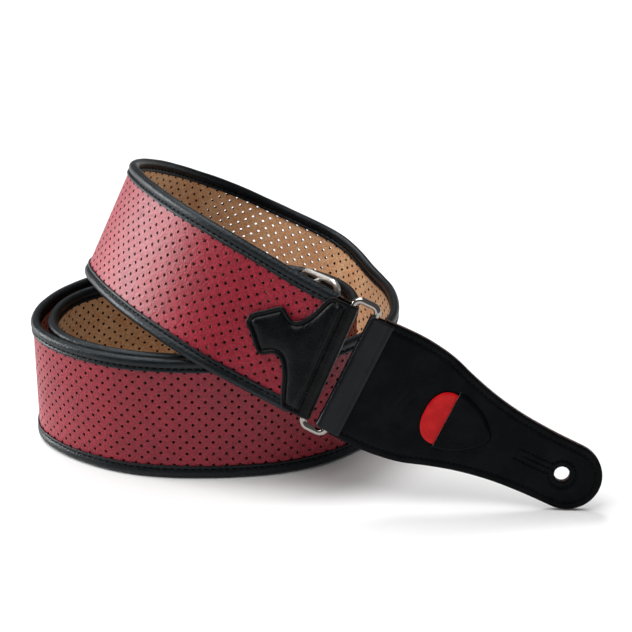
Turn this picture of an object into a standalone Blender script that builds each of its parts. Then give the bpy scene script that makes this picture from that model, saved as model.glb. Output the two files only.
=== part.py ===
"""A 60 mm wide perforated leather guitar strap, coiled on a table.

The strap is a ribbon that starts at the front ring, makes a tilted upper loop, drops to the
table and goes round twice more. Its rear end carries a ring, a tail strap folded through a
slider, and a rear tab, all inside the coil. The front tab, with its pick pocket, hangs from
the front ring and touches the table with its tip.

Lengths in this file are in millimetres, and become metres when a mesh or curve is made.
"""
import math

import bmesh
import bpy
import numpy as np
from mathutils import Matrix, Vector

MM = 0.001
GAP = 0.3                     # clearance between touching pieces

# ---- the strap ----
HALF_WIDTH = 30.0             # strap is 60 wide over the rolled edges
LEATHER_REACH = 25.4          # half width of the layers held inside the bindings
LAYERS = {                    # offsets from the middle surface, red side positive
    "red_face_leather": (0.5, 1.3),
    "padding_layer": (-0.2, 0.2),
    "suede_lining": (-1.3, -0.5),
}
FLANGE_START = 23.5           # where the binding's stitched flange begins
FLANGE_TOP = 2.1
ROLL_RADIUS = 2.3             # rolled edge of the binding
ROLL_BORE = 1.7
CORD_RADIUS = 1.4             # filler cord inside the rolled edge
BINDING_FRONT_START = 10.0    # the bindings stop short of the ring's tunnel
BINDING_REAR_END = 21.0
TURN_PER_STATION = math.radians(13.0)
LONGEST_STATION = 26.0
FIRST_STATIONS = 9.5          # closer under the front patch
PATCH_REGION = 48.0

# Middle line of the strap as x, y, z, from the front ring's end to the rear end. The last two
# numbers lean the strap's width: sideways and back for each unit of height.
STRAP_PATH = [
    (5.2, -75.8, 68.3, 0.44, 0.10), (-14.0, -68.2, 76.0, 0.45, 0.13), (-33.4, -60.6, 84.7, 0.47, 0.23),
    (-57.0, -45.2, 93.7, 0.47, 0.22), (-76.7, -22.3, 98.3, 0.46, 0.19), (-90.6, 3.6, 99.9, 0.46, 0.18),
    (-94.5, 17.0, 99.3, 0.46, 0.18), (-94.3, 31.0, 97.0, 0.46, 0.18), (-86.0, 54.7, 89.2, 0.46, 0.18),
    (-67.0, 79.7, 75.2, 0.46, 0.18), (-50.0, 87.5, 66.0, 0.46, 0.18), (-32.0, 89.3, 57.0, 0.46, 0.18),
    (-8.5, 84.0, 47.5, 0.35, 0.14), (5.5, 79.5, 42.0, 0.26, 0.10), (17.5, 70.7, 37.0, 0.16, 0.06),
    (32.0, 50.7, 31.5, 0.06, 0.02), (41.3, 32.4, 30.0, 0.0, 0.0), (43.5, 15.5, 30.0, 0.0, 0.0),
    (42.5, -4.0, 30.0, 0.0, 0.0), (36.5, -19.0, 30.0, 0.0, 0.0), (25.5, -32.0, 30.0, 0.0, 0.0),
    (16.5, -41.0, 30.0, 0.0, 0.0), (2.0, -51.0, 30.0, 0.0, 0.0), (-15.0, -57.5, 30.0, 0.0, 0.0),
    (-32.5, -60.4, 30.0, 0.0, 0.0), (-50.5, -61.2, 30.0, 0.0, 0.0), (-69.0, -60.0, 30.0, 0.0, 0.0),
    (-86.5, -55.5, 30.0, 0.0, 0.0), (-102.5, -47.5, 30.0, 0.0, 0.0), (-116.5, -36.2, 30.0, 0.0, 0.0),
    (-127.0, -21.5, 30.0, 0.0, 0.0), (-130.2, -6.0, 30.0, 0.0, 0.0), (-128.5, 8.5, 30.0, 0.0, 0.0),
    (-122.5, 24.2, 30.0, 0.0, 0.0), (-112.0, 39.0, 30.0, 0.0, 0.0), (-98.0, 50.0, 30.0, 0.0, 0.0),
    (-79.5, 58.5, 30.0, 0.0, 0.0), (-55.0, 63.2, 30.0, 0.0, 0.0), (-30.0, 62.8, 30.0, 0.0, 0.0),
    (-9.0, 57.8, 30.0, 0.0, 0.0), (9.5, 46.0, 30.0, 0.0, 0.0), (20.0, 31.5, 30.0, 0.0, 0.0),
    (24.0, 12.0, 30.0, 0.0, 0.0), (20.8, -5.5, 30.0, 0.0, 0.0), (10.0, -22.7, 30.0, 0.0, 0.0),
    (-5.0, -40.0, 30.0, 0.0, 0.0), (-19.5, -50.0, 30.0, 0.0, 0.0), (-34.0, -54.8, 30.0, 0.0, 0.0),
    (-51.0, -55.8, 30.0, 0.0, 0.0), (-68.5, -54.3, 30.0, 0.0, 0.0), (-85.0, -49.8, 30.0, 0.0, 0.0),
    (-99.5, -42.5, 30.0, 0.0, 0.0), (-112.0, -32.5, 30.0, 0.0, 0.0), (-120.3, -17.5, 30.0, 0.0, 0.0),
    (-121.0, 2.0, 30.0, 0.0, 0.0), (-115.5, 18.0, 30.0, 0.0, 0.0), (-106.0, 29.0, 30.0, 0.0, 0.0),
    (-90.0, 37.5, 30.4, 0.0, 0.0), (-70.0, 42.5, 31.8, 0.0, 0.0), (-50.0, 44.4, 33.0, 0.0, 0.0),
    (-30.0, 44.3, 33.4, 0.0, 0.0),
]

ORIGIN_SHIFT = (-0.24, -1.3, -0.03)   # puts the origin under the middle of the whole object

# ---- hardware ----
WIRE_RADIUS = 1.6
RING_ACROSS = 63.4            # between the wire centres of the short sides
RING_ALONG = 11.2             # between the wire centres of the long sides
RING_CORNER = 3.2
RING_FROM_STRAP = 6.1         # from the strap's end to the wire that its patch wraps
FRONT_RING_SWING = math.radians(6.0)
SLIDER_LENGTH = 30.0
SLIDER_ACROSS = 66.6
SLIDER_START = 10.0           # along the tail, from the rear ring's wire to the slider's end
SLIDER_RISE = 5.7             # slider frame's height above the tail's hinge line
CENTRE_BAR_RADIUS = 1.3
CENTRE_BAR_DROP = -0.6

# ---- leather ends ----
LEAF_SIDES = (-1, -1, 1, 1)   # which side of a leaf each corner of its section is on
PATCH_LEAF = (2.6, 3.6)       # height of the front and rear patches' outer leaves
TUNNEL_INNER = 1.9            # inner radius of a leather tunnel round a wire
PATCH_THICKNESS = 1.0
TUNNEL_HALF = 28.2
TAB_LEAVES = {"leather": (0.2, 1.6), "lining": (-1.6, -0.1)}
TAB_SWING = math.radians(16.2)
TAB_TURN = math.radians(2.6) # the front tab's skew in its own plane
TAB_SLIP = 0.6
TAB_START = 3.2
TAB_END = 123.3
TAB_TIP_RADIUS = 15.6
BUTTON_HOLE = 105.0           # from the hinge line to the button hole's centre
BUTTON_HOLE_RADIUS = 3.5
LOOP_LEAF = (1.9, 2.7)        # height of the front tab's fold strip
LOOP_FRONT_END = 7.6
LOOP_BACK_END = 14.0
PICK_START = 38.4
PICK_LENGTH = 30.4
PICK_WIDTH = 25.0
PICK_LEVELS = (2.0, 2.8)
POCKET_MOUTH = 47.0
POCKET_LEVELS = (1.9, 3.7)
POCKET_CEILING = 3.1

# ---- tail and rear tab ----
REAR_RING_SWING = math.radians(3.9)
TAIL_TURN = math.radians(45.4)          # from the rear ring's direction to the tail's
TAIL_HALF = 28.0
TAIL_THICKNESS = 1.6
TAIL_LAYER = 3.0              # the two layers lie this far either side of the hinge line
TAIL_STRAIGHT = 44.0
# Plan of the tail after its straight stretch and on through the rear tab, as x, y.
TAIL_BEND = [(16.8, 4.0), (13.6, -5.0), (5.0, -18.0), (-9.0, -34.6), (-22.5, -44.6), (-35.0, -48.6),
             (-51.0, -49.6), (-68.0, -47.8), (-84.0, -43.0)]
TAIL_END = 66.0              # along the bend: where the strap stops inside the rear tab
REAR_TAB_START = 33.0         # along the bend
REAR_TAB_LENGTH = 108.0
REAR_TAB_ROOT = 27.0
REAR_TAB_TIP = 15.0
REAR_TAB_LEAF = 1.0

COLOURS = {                   # base colour, roughness, metallic
    "red": ((0.33, 0.03, 0.05), 0.45, 0.0),
    "tan": ((0.36, 0.20, 0.11), 0.9, 0.0),
    "black": ((0.012, 0.013, 0.015), 0.42, 0.0),
    "padding": ((0.10, 0.10, 0.10), 0.95, 0.0),
    "chrome": ((0.80, 0.79, 0.77), 0.12, 1.0),
    "pick": ((0.62, 0.02, 0.02), 0.35, 0.0),
}


# ---------------------------------------------------------------- scene helpers
def clear_scene():
    for obj in list(bpy.data.objects):
        bpy.data.objects.remove(obj, do_unlink=True)


def make_collection(name):
    collection = bpy.data.collections.new(name)
    bpy.context.scene.collection.children.link(collection)
    return collection


def make_material(name):
    colour, roughness, metallic = COLOURS[name]
    material = bpy.data.materials.new(name)
    material.use_nodes = True
    shader = material.node_tree.nodes["Principled BSDF"]
    shader.inputs["Base Color"].default_value = (*colour, 1.0)
    shader.inputs["Roughness"].default_value = roughness
    shader.inputs["Metallic"].default_value = metallic
    return material


def add_object(name, data, collection, material=None, matrix=None):
    obj = bpy.data.objects.new(name, data)
    collection.objects.link(obj)
    if material is not None:
        data.materials.append(material)
    if matrix is not None:
        obj.matrix_world = matrix
    return obj


def parent_to(obj, parent):
    """Parents an object and keeps its place in the world."""
    bpy.context.view_layer.update()
    world = obj.matrix_world.copy()
    obj.parent = parent
    obj.matrix_parent_inverse = parent.matrix_world.inverted()
    obj.matrix_world = world


# ---------------------------------------------------------------- curves in space
def smooth_curve(points, step=1.0):
    """Natural cubic spline through points of any dimension, sampled every step of length."""
    knots = np.array(points, float)
    chord = np.r_[0.0, np.cumsum(np.linalg.norm(np.diff(knots[:, :2], axis=0), axis=1))]
    h = np.diff(chord)
    n = len(knots)
    system = np.eye(n)
    right = np.zeros_like(knots)
    for i in range(1, n - 1):
        system[i, i - 1:i + 2] = (h[i - 1], 2.0 * (h[i - 1] + h[i]), h[i])
        right[i] = 6.0 * ((knots[i + 1] - knots[i]) / h[i] - (knots[i] - knots[i - 1]) / h[i - 1])
    bend = np.linalg.solve(system, right)
    at = np.linspace(0.0, chord[-1], int(chord[-1] / step * 2) + 2)
    span = np.clip(np.searchsorted(chord, at, side="right") - 1, 0, n - 2)
    a = ((chord[span + 1] - at) / h[span])[:, None]
    b = 1.0 - a
    hs = h[span][:, None]
    curve = (a * knots[span] + b * knots[span + 1]
             + ((a ** 3 - a) * bend[span] + (b ** 3 - b) * bend[span + 1]) * hs ** 2 / 6.0)
    length = np.r_[0.0, np.cumsum(np.linalg.norm(np.diff(curve[:, :3], axis=0), axis=1))]
    even = np.linspace(0.0, length[-1], int(length[-1] / step) + 1)
    return np.stack([np.interp(even, length, curve[:, k]) for k in range(curve.shape[1])], axis=1)


class Ribbon:
    """A path with a width direction and a face direction at every point along it."""

    def __init__(self, points):
        curve = smooth_curve(points)
        self.place = curve[:, :3] + np.array(ORIGIN_SHIFT)
        tangent = np.gradient(self.place, axis=0)
        self.along = tangent / np.linalg.norm(tangent, axis=1)[:, None]
        lean = np.column_stack([curve[:, 3:5], np.ones(len(curve))])
        lean -= np.sum(lean * self.along, axis=1)[:, None] * self.along
        self.width = lean / np.linalg.norm(lean, axis=1)[:, None]
        self.face = np.cross(self.width, self.along)
        steps = np.linalg.norm(np.diff(self.place, axis=0), axis=1)
        self.distance = np.r_[0.0, np.cumsum(steps)]
        self.length = self.distance[-1]
        self.stops = self.find_stops()

    def at(self, distance):
        """Place, direction along, width and face at a distance from the start."""
        pick = [np.array([np.interp(distance, self.distance, row) for row in field.T])
                for field in (self.place, self.along, self.width, self.face)]
        return [pick[0]] + [v / np.linalg.norm(v) for v in pick[1:]]

    def find_stops(self):
        """Distances close enough together for the ribbon's bends and twists."""
        stops = [0.0]
        turned = 0.0
        for i in range(1, len(self.distance)):
            cosine = np.clip(np.dot(self.face[i], self.face[i - 1]), -1.0, 1.0)
            turned += math.acos(cosine)
            longest = FIRST_STATIONS if self.distance[i] < PATCH_REGION else LONGEST_STATION
            if turned > TURN_PER_STATION or self.distance[i] - stops[-1] > longest:
                stops.append(self.distance[i])
                turned = 0.0
        return stops

    def stations(self, start, end):
        """The shared stops between two distances, so that every layer bends at the same places."""
        return [start] + [s for s in self.stops if start + 2.0 < s < end - 2.0] + [end]

    def point(self, distance, height, across):
        place, _, width, face = self.at(distance)
        return place + face * height + width * across


def arc(centre, radius, start_deg, end_deg, count):
    angles = np.radians(np.linspace(start_deg, end_deg, count))
    return [(centre[0] + radius * math.cos(a), centre[1] + radius * math.sin(a)) for a in angles]


# ---------------------------------------------------------------- mesh makers
def loft(name, rings, collection, material, across=None):
    """Closed solid through rings that have the same number of corners.

    Where the surface twists, across gives each corner's place over the width. Every four-sided
    patch is then split along the same diagonal, so that layers stay clear of each other.
    """
    mesh = bpy.data.meshes.new(name)
    solid = bmesh.new()
    rows = [[solid.verts.new(Vector(p) * MM) for p in ring] for ring in rings]
    count = len(rows[0])
    for near, far in zip(rows, rows[1:]):
        for i in range(count):
            j = (i + 1) % count
            if across is None:
                solid.faces.new((near[i], near[j], far[j], far[i]))
            elif across[i] < across[j]:
                solid.faces.new((near[i], near[j], far[j]))
                solid.faces.new((near[i], far[j], far[i]))
            else:
                solid.faces.new((near[i], near[j], far[i]))
                solid.faces.new((near[j], far[j], far[i]))
    solid.faces.new(rows[0][::-1])
    solid.faces.new(rows[-1])
    bmesh.ops.recalc_face_normals(solid, faces=solid.faces)
    solid.to_mesh(mesh)
    solid.free()
    mesh.shade_smooth()
    mesh.set_sharp_from_angle(angle=math.radians(35.0))
    return add_object(name, mesh, collection, material)


def ribbon_solid(name, ribbon, section, start, end, collection, material):
    """Sweeps a section of (height, across) corners along a ribbon."""
    rings = [[ribbon.point(s, height, across) for height, across in section]
             for s in ribbon.stations(start, end)]
    return loft(name, rings, collection, material, [across for _, across in section])


def outline_plate(name, outlines, low, high, matrix, collection, material):
    """Flat plate from 2D outlines, the first one outer and the rest holes."""
    curve = bpy.data.curves.new(name, "CURVE")
    curve.dimensions = "2D"
    curve.fill_mode = "BOTH"
    curve.extrude = (high - low) / 2 * MM
    for outline in outlines:
        spline = curve.splines.new("POLY")
        spline.points.add(len(outline) - 1)
        for point, (x, y) in zip(spline.points, outline):
            point.co = (x * MM, y * MM, 0.0, 1.0)
        spline.use_cyclic_u = True
    lift = Matrix.Translation((0.0, 0.0, (high + low) / 2 * MM))
    return add_object(name, curve, collection, material, matrix @ lift)


def wire_loop(name, points, radius, matrix, collection, material):
    """Closed loop of round wire."""
    curve = bpy.data.curves.new(name, "CURVE")
    curve.dimensions = "3D"
    curve.bevel_depth = radius * MM
    curve.bevel_resolution = 2
    spline = curve.splines.new("POLY")
    spline.points.add(len(points) - 1)
    for point, place in zip(spline.points, points):
        point.co = (*(Vector(place) * MM), 1.0)
    spline.use_cyclic_u = True
    return add_object(name, curve, collection, material, matrix)


def to_mesh(obj, collection):
    """Replaces a curve object with a closed mesh of the same name, shape and place."""
    bpy.context.view_layer.update()
    evaluated = obj.evaluated_get(bpy.context.evaluated_depsgraph_get())
    mesh = bpy.data.meshes.new_from_object(evaluated)
    solid = bmesh.new()
    solid.from_mesh(mesh)
    bmesh.ops.remove_doubles(solid, verts=solid.verts, dist=0.000001)
    bmesh.ops.recalc_face_normals(solid, faces=solid.faces)
    solid.to_mesh(mesh)
    solid.free()
    matrix = obj.matrix_world.copy()
    name = obj.name
    bpy.data.objects.remove(obj, do_unlink=True)
    made = add_object(name, mesh, collection)
    made.matrix_world = matrix
    made.name = name
    return made


def boolean(target, cutter, operation):
    modifier = target.modifiers.new(operation.lower(), "BOOLEAN")
    modifier.operation = operation
    modifier.object = cutter
    cutter.hide_render = True
    cutter.display_type = "WIRE"


def frame_matrix(origin, along, across, face):
    """Local X along, Y across, Z out of the face, at an origin in millimetres."""
    matrix = Matrix((along, across, face)).transposed().to_4x4()
    matrix.translation = Vector(origin) * MM
    return matrix


# ---------------------------------------------------------------- outlines
def rounded_loop(along, across, corner, steps=4):
    """Rectangle with round corners, centred on the origin, as (x, y) points."""
    points = []
    for sx, sy, first in ((1, 1, 0), (-1, 1, 90), (-1, -1, 180), (1, -1, 270)):
        centre = (sx * (along / 2 - corner), sy * (across / 2 - corner))
        points += arc(centre, corner, first, first + 90, steps)
    return points


def circle(centre, radius, count=20):
    return arc(centre, radius, 0, 360 - 360 / count, count)


def front_tab_half_width(x):
    """Half width of the front tab: full at the ring, waisted towards the tip."""
    stations = (0.0, 27.0, 37.5, 49.0, 60.0, 75.0, 92.0, 108.0)
    halves = (29.3, 29.0, 27.2, 23.4, 20.2, 17.3, 15.9, TAB_TIP_RADIUS)
    return float(np.interp(x, stations, halves))


def front_tab_outline(start):
    sides = [start] + [x for x in (20, 27, 33, 37.5, 43, 49, 55, 60, 67, 75, 83, 92, 100) if x > start]
    upper = [(x, front_tab_half_width(x)) for x in sides]
    tip = arc((TAB_END - TAB_TIP_RADIUS, 0.0), TAB_TIP_RADIUS, 90, -90, 11)
    return upper + tip + [(x, -w) for x, w in reversed(upper)]


def pick_outline():
    """Rounded triangle of a pick, blunt end first, point towards +X."""
    half = PICK_WIDTH / 2
    start = PICK_START
    end = PICK_START + PICK_LENGTH
    upper = [(start, 0.0), (start + 0.5, half * 0.35), (start + 2.0, half * 0.68),
             (start + 4.6, half * 0.92), (start + 8.0, half), (start + 12.0, half * 0.96),
             (start + 17.0, half * 0.80), (start + 22.0, half * 0.55), (start + 26.5, half * 0.27),
             (end - 1.0, half * 0.10), (end, 0.0)]
    return upper + [(x, -y) for x, y in reversed(upper[1:-1])]


def grown(outline, by):
    """The outline moved outwards by a distance, corner by corner."""
    corners = [Vector(p) for p in outline]
    middle = sum(corners, Vector((0.0, 0.0))) / len(corners)
    moved = []
    for i, corner in enumerate(corners):
        along = (corners[(i + 1) % len(corners)] - corners[i - 1]).normalized()
        out = Vector((along.y, -along.x))
        if out.dot(corner - middle) < 0:
            out.negate()
        moved.append(tuple(corner + out * by))
    return moved


def pocket_outline():
    """Pocket leather: the pick's pointed end with a stitched margin, cut straight at the mouth."""
    tip = PICK_START + PICK_LENGTH + 4.0
    half = PICK_WIDTH / 2 + 3.0
    upper = [(POCKET_MOUTH, half), (52.0, half - 0.7), (57.0, half - 3.0), (62.0, half - 6.5),
             (66.5, half - 10.3), (70.5, half - 13.2), (tip, 0.0)]
    return upper + [(x, -y) for x, y in reversed(upper[:-1])]


def patch_edges():
    """Stations of the front patch's T shape: distance past the strap's end, low and high edge."""
    return [
        (-34.9, -0.8, 2.2), (-33.4, -2.2, 4.5), (-28.6, -6.4, 8.7), (-24.3, -10.4, 12.6),
        (-22.0, -10.8, 13.3), (-20.0, -9.4, 12.2), (-17.4, -7.4, 10.3), (-14.6, -7.6, 10.0),
        (-12.2, -9.9, 11.8), (-9.4, -15.2, 16.0), (-7.2, -22.0, 21.2), (-5.6, -26.2, 25.6),
        (-3.0, -28.2, 28.2), (0.0, -TUNNEL_HALF, TUNNEL_HALF),
    ]


# ---------------------------------------------------------------- folded leather
def fold_rings(leaf, fold_centre, back_end, half, thickness, inner):
    """Sections of a leaf that runs to +X, wraps a wire and comes back underneath."""
    rings = []
    mid = inner + thickness / 2
    for angle in np.linspace(90, -90, 9):
        a = math.radians(angle)
        out = (math.cos(a), math.sin(a))
        rings.append([(fold_centre + out[0] * (mid + t), -half if w < 0 else half, out[1] * (mid + t))
                      for t, w in ((-thickness / 2, -1), (thickness / 2, -1),
                                   (thickness / 2, 1), (-thickness / 2, 1))])
    for x in (fold_centre - 4.0, back_end):
        low, high = leaf
        rings.append([(x, -half, -low), (x, -half, -high), (x, half, -high), (x, half, -low)])
    return rings


def place_rings(rings, matrix):
    return [[matrix @ (Vector(p) * MM) / MM for p in ring] for ring in rings]


def leaf_over(ribbon, edges, low, high, at_rear):
    """Sections of a leaf that lies over the strap near one of its ends."""
    rings = []
    for x, a, b in edges:
        distance = ribbon.length + x if at_rear else -x
        rings.append([ribbon.point(distance, h, w) for h, w in ((low, a), (high, a), (high, b), (low, b))])
    return rings


def patch_solid(name, ribbon, edges, back_end, matrix, collection, material):
    """Patch leather over the strap's red side, round the ring's wire and onto the lining."""
    at_rear = name.startswith("rear")
    folded = fold_rings(PATCH_LEAF, RING_FROM_STRAP, back_end, TUNNEL_HALF, PATCH_THICKNESS, TUNNEL_INNER)
    if at_rear:
        folded = [[(x, -y, z) for x, y, z in ring] for ring in folded]
    rings = leaf_over(ribbon, edges, *PATCH_LEAF, at_rear) + place_rings(folded, matrix)
    return loft(name, rings, collection, material, LEAF_SIDES)


# ---------------------------------------------------------------- sub-parts
def binding_section(side):
    """Closed section of the edge binding: two flanges and a hollow roll, side is +1 or -1."""
    middle = HALF_WIDTH - ROLL_RADIUS
    slot = max(high for _, high in LAYERS.values()) + GAP
    outer = [(FLANGE_TOP, FLANGE_START), (FLANGE_TOP, middle - 1.6)]
    outer += arc((0.0, middle), ROLL_RADIUS, -20, 200, 8)
    outer += [(-FLANGE_TOP, middle - 1.6), (-FLANGE_TOP, FLANGE_START)]
    inner = [(-slot, FLANGE_START), (-slot, middle - 0.9)]
    inner += arc((0.0, middle), ROLL_BORE, 170, 10, 5)
    inner += [(slot, middle - 0.9), (slot, FLANGE_START)]
    return [(height, side * across) for height, across in outer + inner]


def cord_section(side):
    return [(h, side * w) for h, w in arc((0.0, HALF_WIDTH - ROLL_RADIUS), CORD_RADIUS, 0, 300, 6)]


def build_strap(ribbon, parts, materials):
    colours = {"red_face_leather": "red", "padding_layer": "padding", "suede_lining": "tan"}
    for name, (low, high) in LAYERS.items():
        reach = LEATHER_REACH
        section = [(low, -reach), (high, -reach), (high, reach), (low, reach)]
        ribbon_solid(name, ribbon, section, 0.0, ribbon.length, parts, materials[colours[name]])
    end = ribbon.length - BINDING_REAR_END
    for word, side in (("upper", 1), ("lower", -1)):
        ribbon_solid(f"{word}_edge_binding", ribbon, binding_section(side), BINDING_FRONT_START, end,
                     parts, materials["black"])
        ribbon_solid(f"{word}_filler_cord", ribbon, cord_section(side), BINDING_FRONT_START + 1.0,
                     end - 1.0, parts, materials["padding"])


def build_patches(strap, front, rear, parts, materials):
    black = materials["black"]
    patch_solid("front_patch", strap, patch_edges(), -14.0, front, parts, black)
    padding = [(x, a + 3.0, b - 3.0) for x, a, b in patch_edges() if -33.0 < x < -13.0]
    rings = leaf_over(strap, padding, 1.75, 2.3, False)
    loft("front_patch_padding", rings, parts, materials["padding"], LEAF_SIDES)
    square = [(-18.0, -TUNNEL_HALF, TUNNEL_HALF), (0.0, -TUNNEL_HALF, TUNNEL_HALF)]
    patch_solid("rear_patch", strap, square, -18.0, rear, parts, black)


def build_ring(name, matrix, parts, materials):
    """Rectangular wire ring whose origin is on its first long wire."""
    middle = RING_ALONG / 2
    points = [(x + middle, y, 0.0) for x, y in rounded_loop(RING_ALONG, RING_ACROSS, RING_CORNER)]
    return wire_loop(name, points, WIRE_RADIUS, matrix, parts, materials["chrome"])


def build_front_tab(matrix, parts, cutters, materials):
    """Front tab's pieces, with local X along the tab and the hinge line at X = 0."""
    hole = circle((BUTTON_HOLE, 0.0), BUTTON_HOLE_RADIUS)
    made = []
    for word, (low, high) in TAB_LEAVES.items():
        made.append(outline_plate(f"front_tab_{word}", [front_tab_outline(TAB_START), hole], low, high,
                                  matrix, parts, materials["black"]))
    low, high = LOOP_LEAF
    slack = TUNNEL_HALF * math.sin(TAB_TURN)
    front = [[(x, -TUNNEL_HALF, low), (x, -TUNNEL_HALF, high), (x, TUNNEL_HALF, high), (x, TUNNEL_HALF, low)]
             for x in (-LOOP_FRONT_END, slack - 1.0)]
    rings = front + fold_rings(LOOP_LEAF, slack, -LOOP_BACK_END, TUNNEL_HALF, high - low, low)
    mirrored = [[(-x, y, z) for x, y, z in ring] for ring in rings]
    made.append(loft("front_tab_fold_strip", place_rings(mirrored, matrix), parts, materials["black"]))
    pick = outline_plate("guitar_pick", [pick_outline()], *PICK_LEVELS, matrix, parts, materials["pick"])
    pocket = to_mesh(outline_plate("pick_pocket", [pocket_outline()], *POCKET_LEVELS, matrix, parts, None),
                     parts)
    pocket.data.materials.append(materials["black"])
    cutter = to_mesh(outline_plate("pocket_cutter", [grown(pick_outline(), 0.4)], 0.0, POCKET_CEILING, matrix,
                                   cutters, None), cutters)
    boolean(pocket, cutter, "DIFFERENCE")
    return made + [pocket, pick]


def build_slider(matrix, parts, cutters, materials):
    """Slider: a raised wire frame, and a centre bar whose ends rise to meet it."""
    start = SLIDER_START + WIRE_RADIUS
    length = SLIDER_LENGTH - 2 * WIRE_RADIUS
    across = SLIDER_ACROSS - 2 * WIRE_RADIUS
    loop = [(x + start + length / 2, y, SLIDER_RISE) for x, y in rounded_loop(length, across, 4.0)]
    frame = to_mesh(wire_loop("slider", loop, WIRE_RADIUS, matrix, parts, materials["chrome"]), parts)
    frame.data.materials.clear()
    frame.data.materials.append(materials["chrome"])
    middle = start + length / 2
    side = across / 2
    bar = bpy.data.curves.new("slider_bar_cutter", "CURVE")
    bar.dimensions = "3D"
    bar.bevel_depth = CENTRE_BAR_RADIUS * MM
    bar.bevel_resolution = 2
    bar.use_fill_caps = True
    route = [(middle, -side, SLIDER_RISE), (middle, -side, CENTRE_BAR_DROP + 1.2),
             (middle, -side + 1.2, CENTRE_BAR_DROP), (middle, side - 1.2, CENTRE_BAR_DROP),
             (middle, side, CENTRE_BAR_DROP + 1.2), (middle, side, SLIDER_RISE)]
    spline = bar.splines.new("POLY")
    spline.points.add(len(route) - 1)
    for point, place in zip(spline.points, route):
        point.co = (*(Vector(place) * MM), 1.0)
    joined = to_mesh(add_object("slider_bar_cutter", bar, cutters, None, matrix), cutters)
    boolean(frame, joined, "UNION")
    return frame


def build_tail_bend(matrix, height):
    """Upright ribbon that goes on from the tail's straight stretch into the rear tab."""
    shift = Vector(ORIGIN_SHIFT)
    start = [matrix @ Vector((x * MM, 0.0, TAIL_LAYER * MM)) / MM - shift
             for x in (TAIL_STRAIGHT - 8.0, TAIL_STRAIGHT)]
    plan = [(p.x, p.y) for p in start] + TAIL_BEND
    bend = Ribbon([(x, y, height, 0.0, 0.0) for x, y in plan])
    bend.stops = sorted(bend.stops + [REAR_TAB_START, TAIL_END])
    return bend


def box_rows(xs, low, high, half):
    return [[(x, -half, low), (x, -half, high), (x, half, high), (x, half, low)] for x in xs]


def build_tail(matrix, bend, parts, materials):
    """Tail strap: a short return, the fold round the rear ring, and the run into the rear tab."""
    low = TAIL_LAYER - TAIL_THICKNESS / 2
    high = TAIL_LAYER + TAIL_THICKNESS / 2
    half = TAIL_HALF
    return_end = SLIDER_START + 4.5
    rings = box_rows([return_end], -low, -high, half)
    for a in np.radians(np.linspace(180, 0, 10)):
        x, z = -math.sin(a), math.cos(a)
        rings.append([(x * low, -half, z * low), (x * high, -half, z * high),
                      (x * high, half, z * high), (x * low, half, z * low)])
    placed = place_rings(rings, matrix)
    t = TAIL_THICKNESS / 2
    # The bend's red-side direction and width match the flat stretch's, so the corners line up.
    for s in bend.stations(8.0, TAIL_END):
        placed.append([bend.point(s, h, w) for h, w in ((-t, half), (t, half), (t, -half), (-t, -half))])
    return loft("tail_strap", placed, parts, materials["black"])


def build_bar_loop(matrix, parts, materials):
    """The end of the tail, looped round the slider's centre bar."""
    bar = SLIDER_START + SLIDER_LENGTH / 2
    inner = CENTRE_BAR_RADIUS + GAP
    outer = inner + 0.8
    half = TAIL_HALF
    middle = CENTRE_BAR_DROP
    rings = box_rows([bar - 6.0], middle + inner, middle + outer, half)
    for a in np.radians(np.linspace(0, 180, 9)):
        x, z = math.sin(a), math.cos(a)
        rings.append([(bar + x * r, y, middle + z * r)
                      for r, y in ((inner, -half), (outer, -half), (outer, half), (inner, half))])
    rings += box_rows([bar - 6.0], middle - inner, middle - outer, half)
    return loft("slider_bar_loop", place_rings(rings, matrix), parts, materials["black"])


def rear_tab_half_width(s):
    tip = REAR_TAB_LENGTH - REAR_TAB_TIP
    if s > tip:
        return math.sqrt(max(REAR_TAB_TIP ** 2 - (s - tip) ** 2, 1.0))
    return float(np.interp(s, (0.0, 20.0, 50.0, 75.0), (REAR_TAB_ROOT, REAR_TAB_ROOT, 19.0, REAR_TAB_TIP)))


def build_rear_tab(bend, parts, cutters, materials):
    """Rear tab: two leather leaves over the tail's end, a reinforcement, and a button hole."""
    t = TAIL_THICKNESS / 2
    inside = t + GAP
    tip = REAR_TAB_LENGTH - REAR_TAB_TIP
    stops = [s - REAR_TAB_START for s in bend.stations(REAR_TAB_START, REAR_TAB_START + tip)]
    tail_end = TAIL_END - REAR_TAB_START
    stops += [s for s in (50.0, 62.0, 75.0) if min(abs(s - q) for q in stops) > 3.0]
    stops = sorted(stops)
    ends = [tip + REAR_TAB_TIP * f for f in (0.3, 0.55, 0.75, 0.9, 0.98)]
    place, along, width, face = (Vector(v) for v in bend.at(REAR_TAB_START + tip))
    drill = frame_matrix(place, along, -width, face)
    cutter = to_mesh(outline_plate("button_hole_cutter", [circle((0.0, 0.0), BUTTON_HOLE_RADIUS)],
                                   -10.0, 10.0, drill, cutters, None), cutters)
    pieces = {
        "rear_tab_leather": (inside, inside + REAR_TAB_LEAF, 0.0, 0.0, "black"),
        "rear_tab_lining": (-inside - REAR_TAB_LEAF, -inside, 0.0, 0.0, "black"),
        "rear_tab_reinforcement": (-t, t, tail_end + 1.0, 2.0, "padding"),
    }
    made = []
    for name, (low, high, start, inset, colour) in pieces.items():
        spans = [s for s in stops if s > start + 1.0]
        rings = []
        for s in [start] + spans + (ends if inset == 0 else ends[:3]):
            w = rear_tab_half_width(s) - inset
            rings.append([bend.point(REAR_TAB_START + s, h, a)
                          for h, a in ((low, -w), (high, -w), (high, w), (low, w))])
        leaf = loft(name, rings, parts, materials[colour])
        boolean(leaf, cutter, "DIFFERENCE")
        made.append(leaf)
    return made


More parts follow.
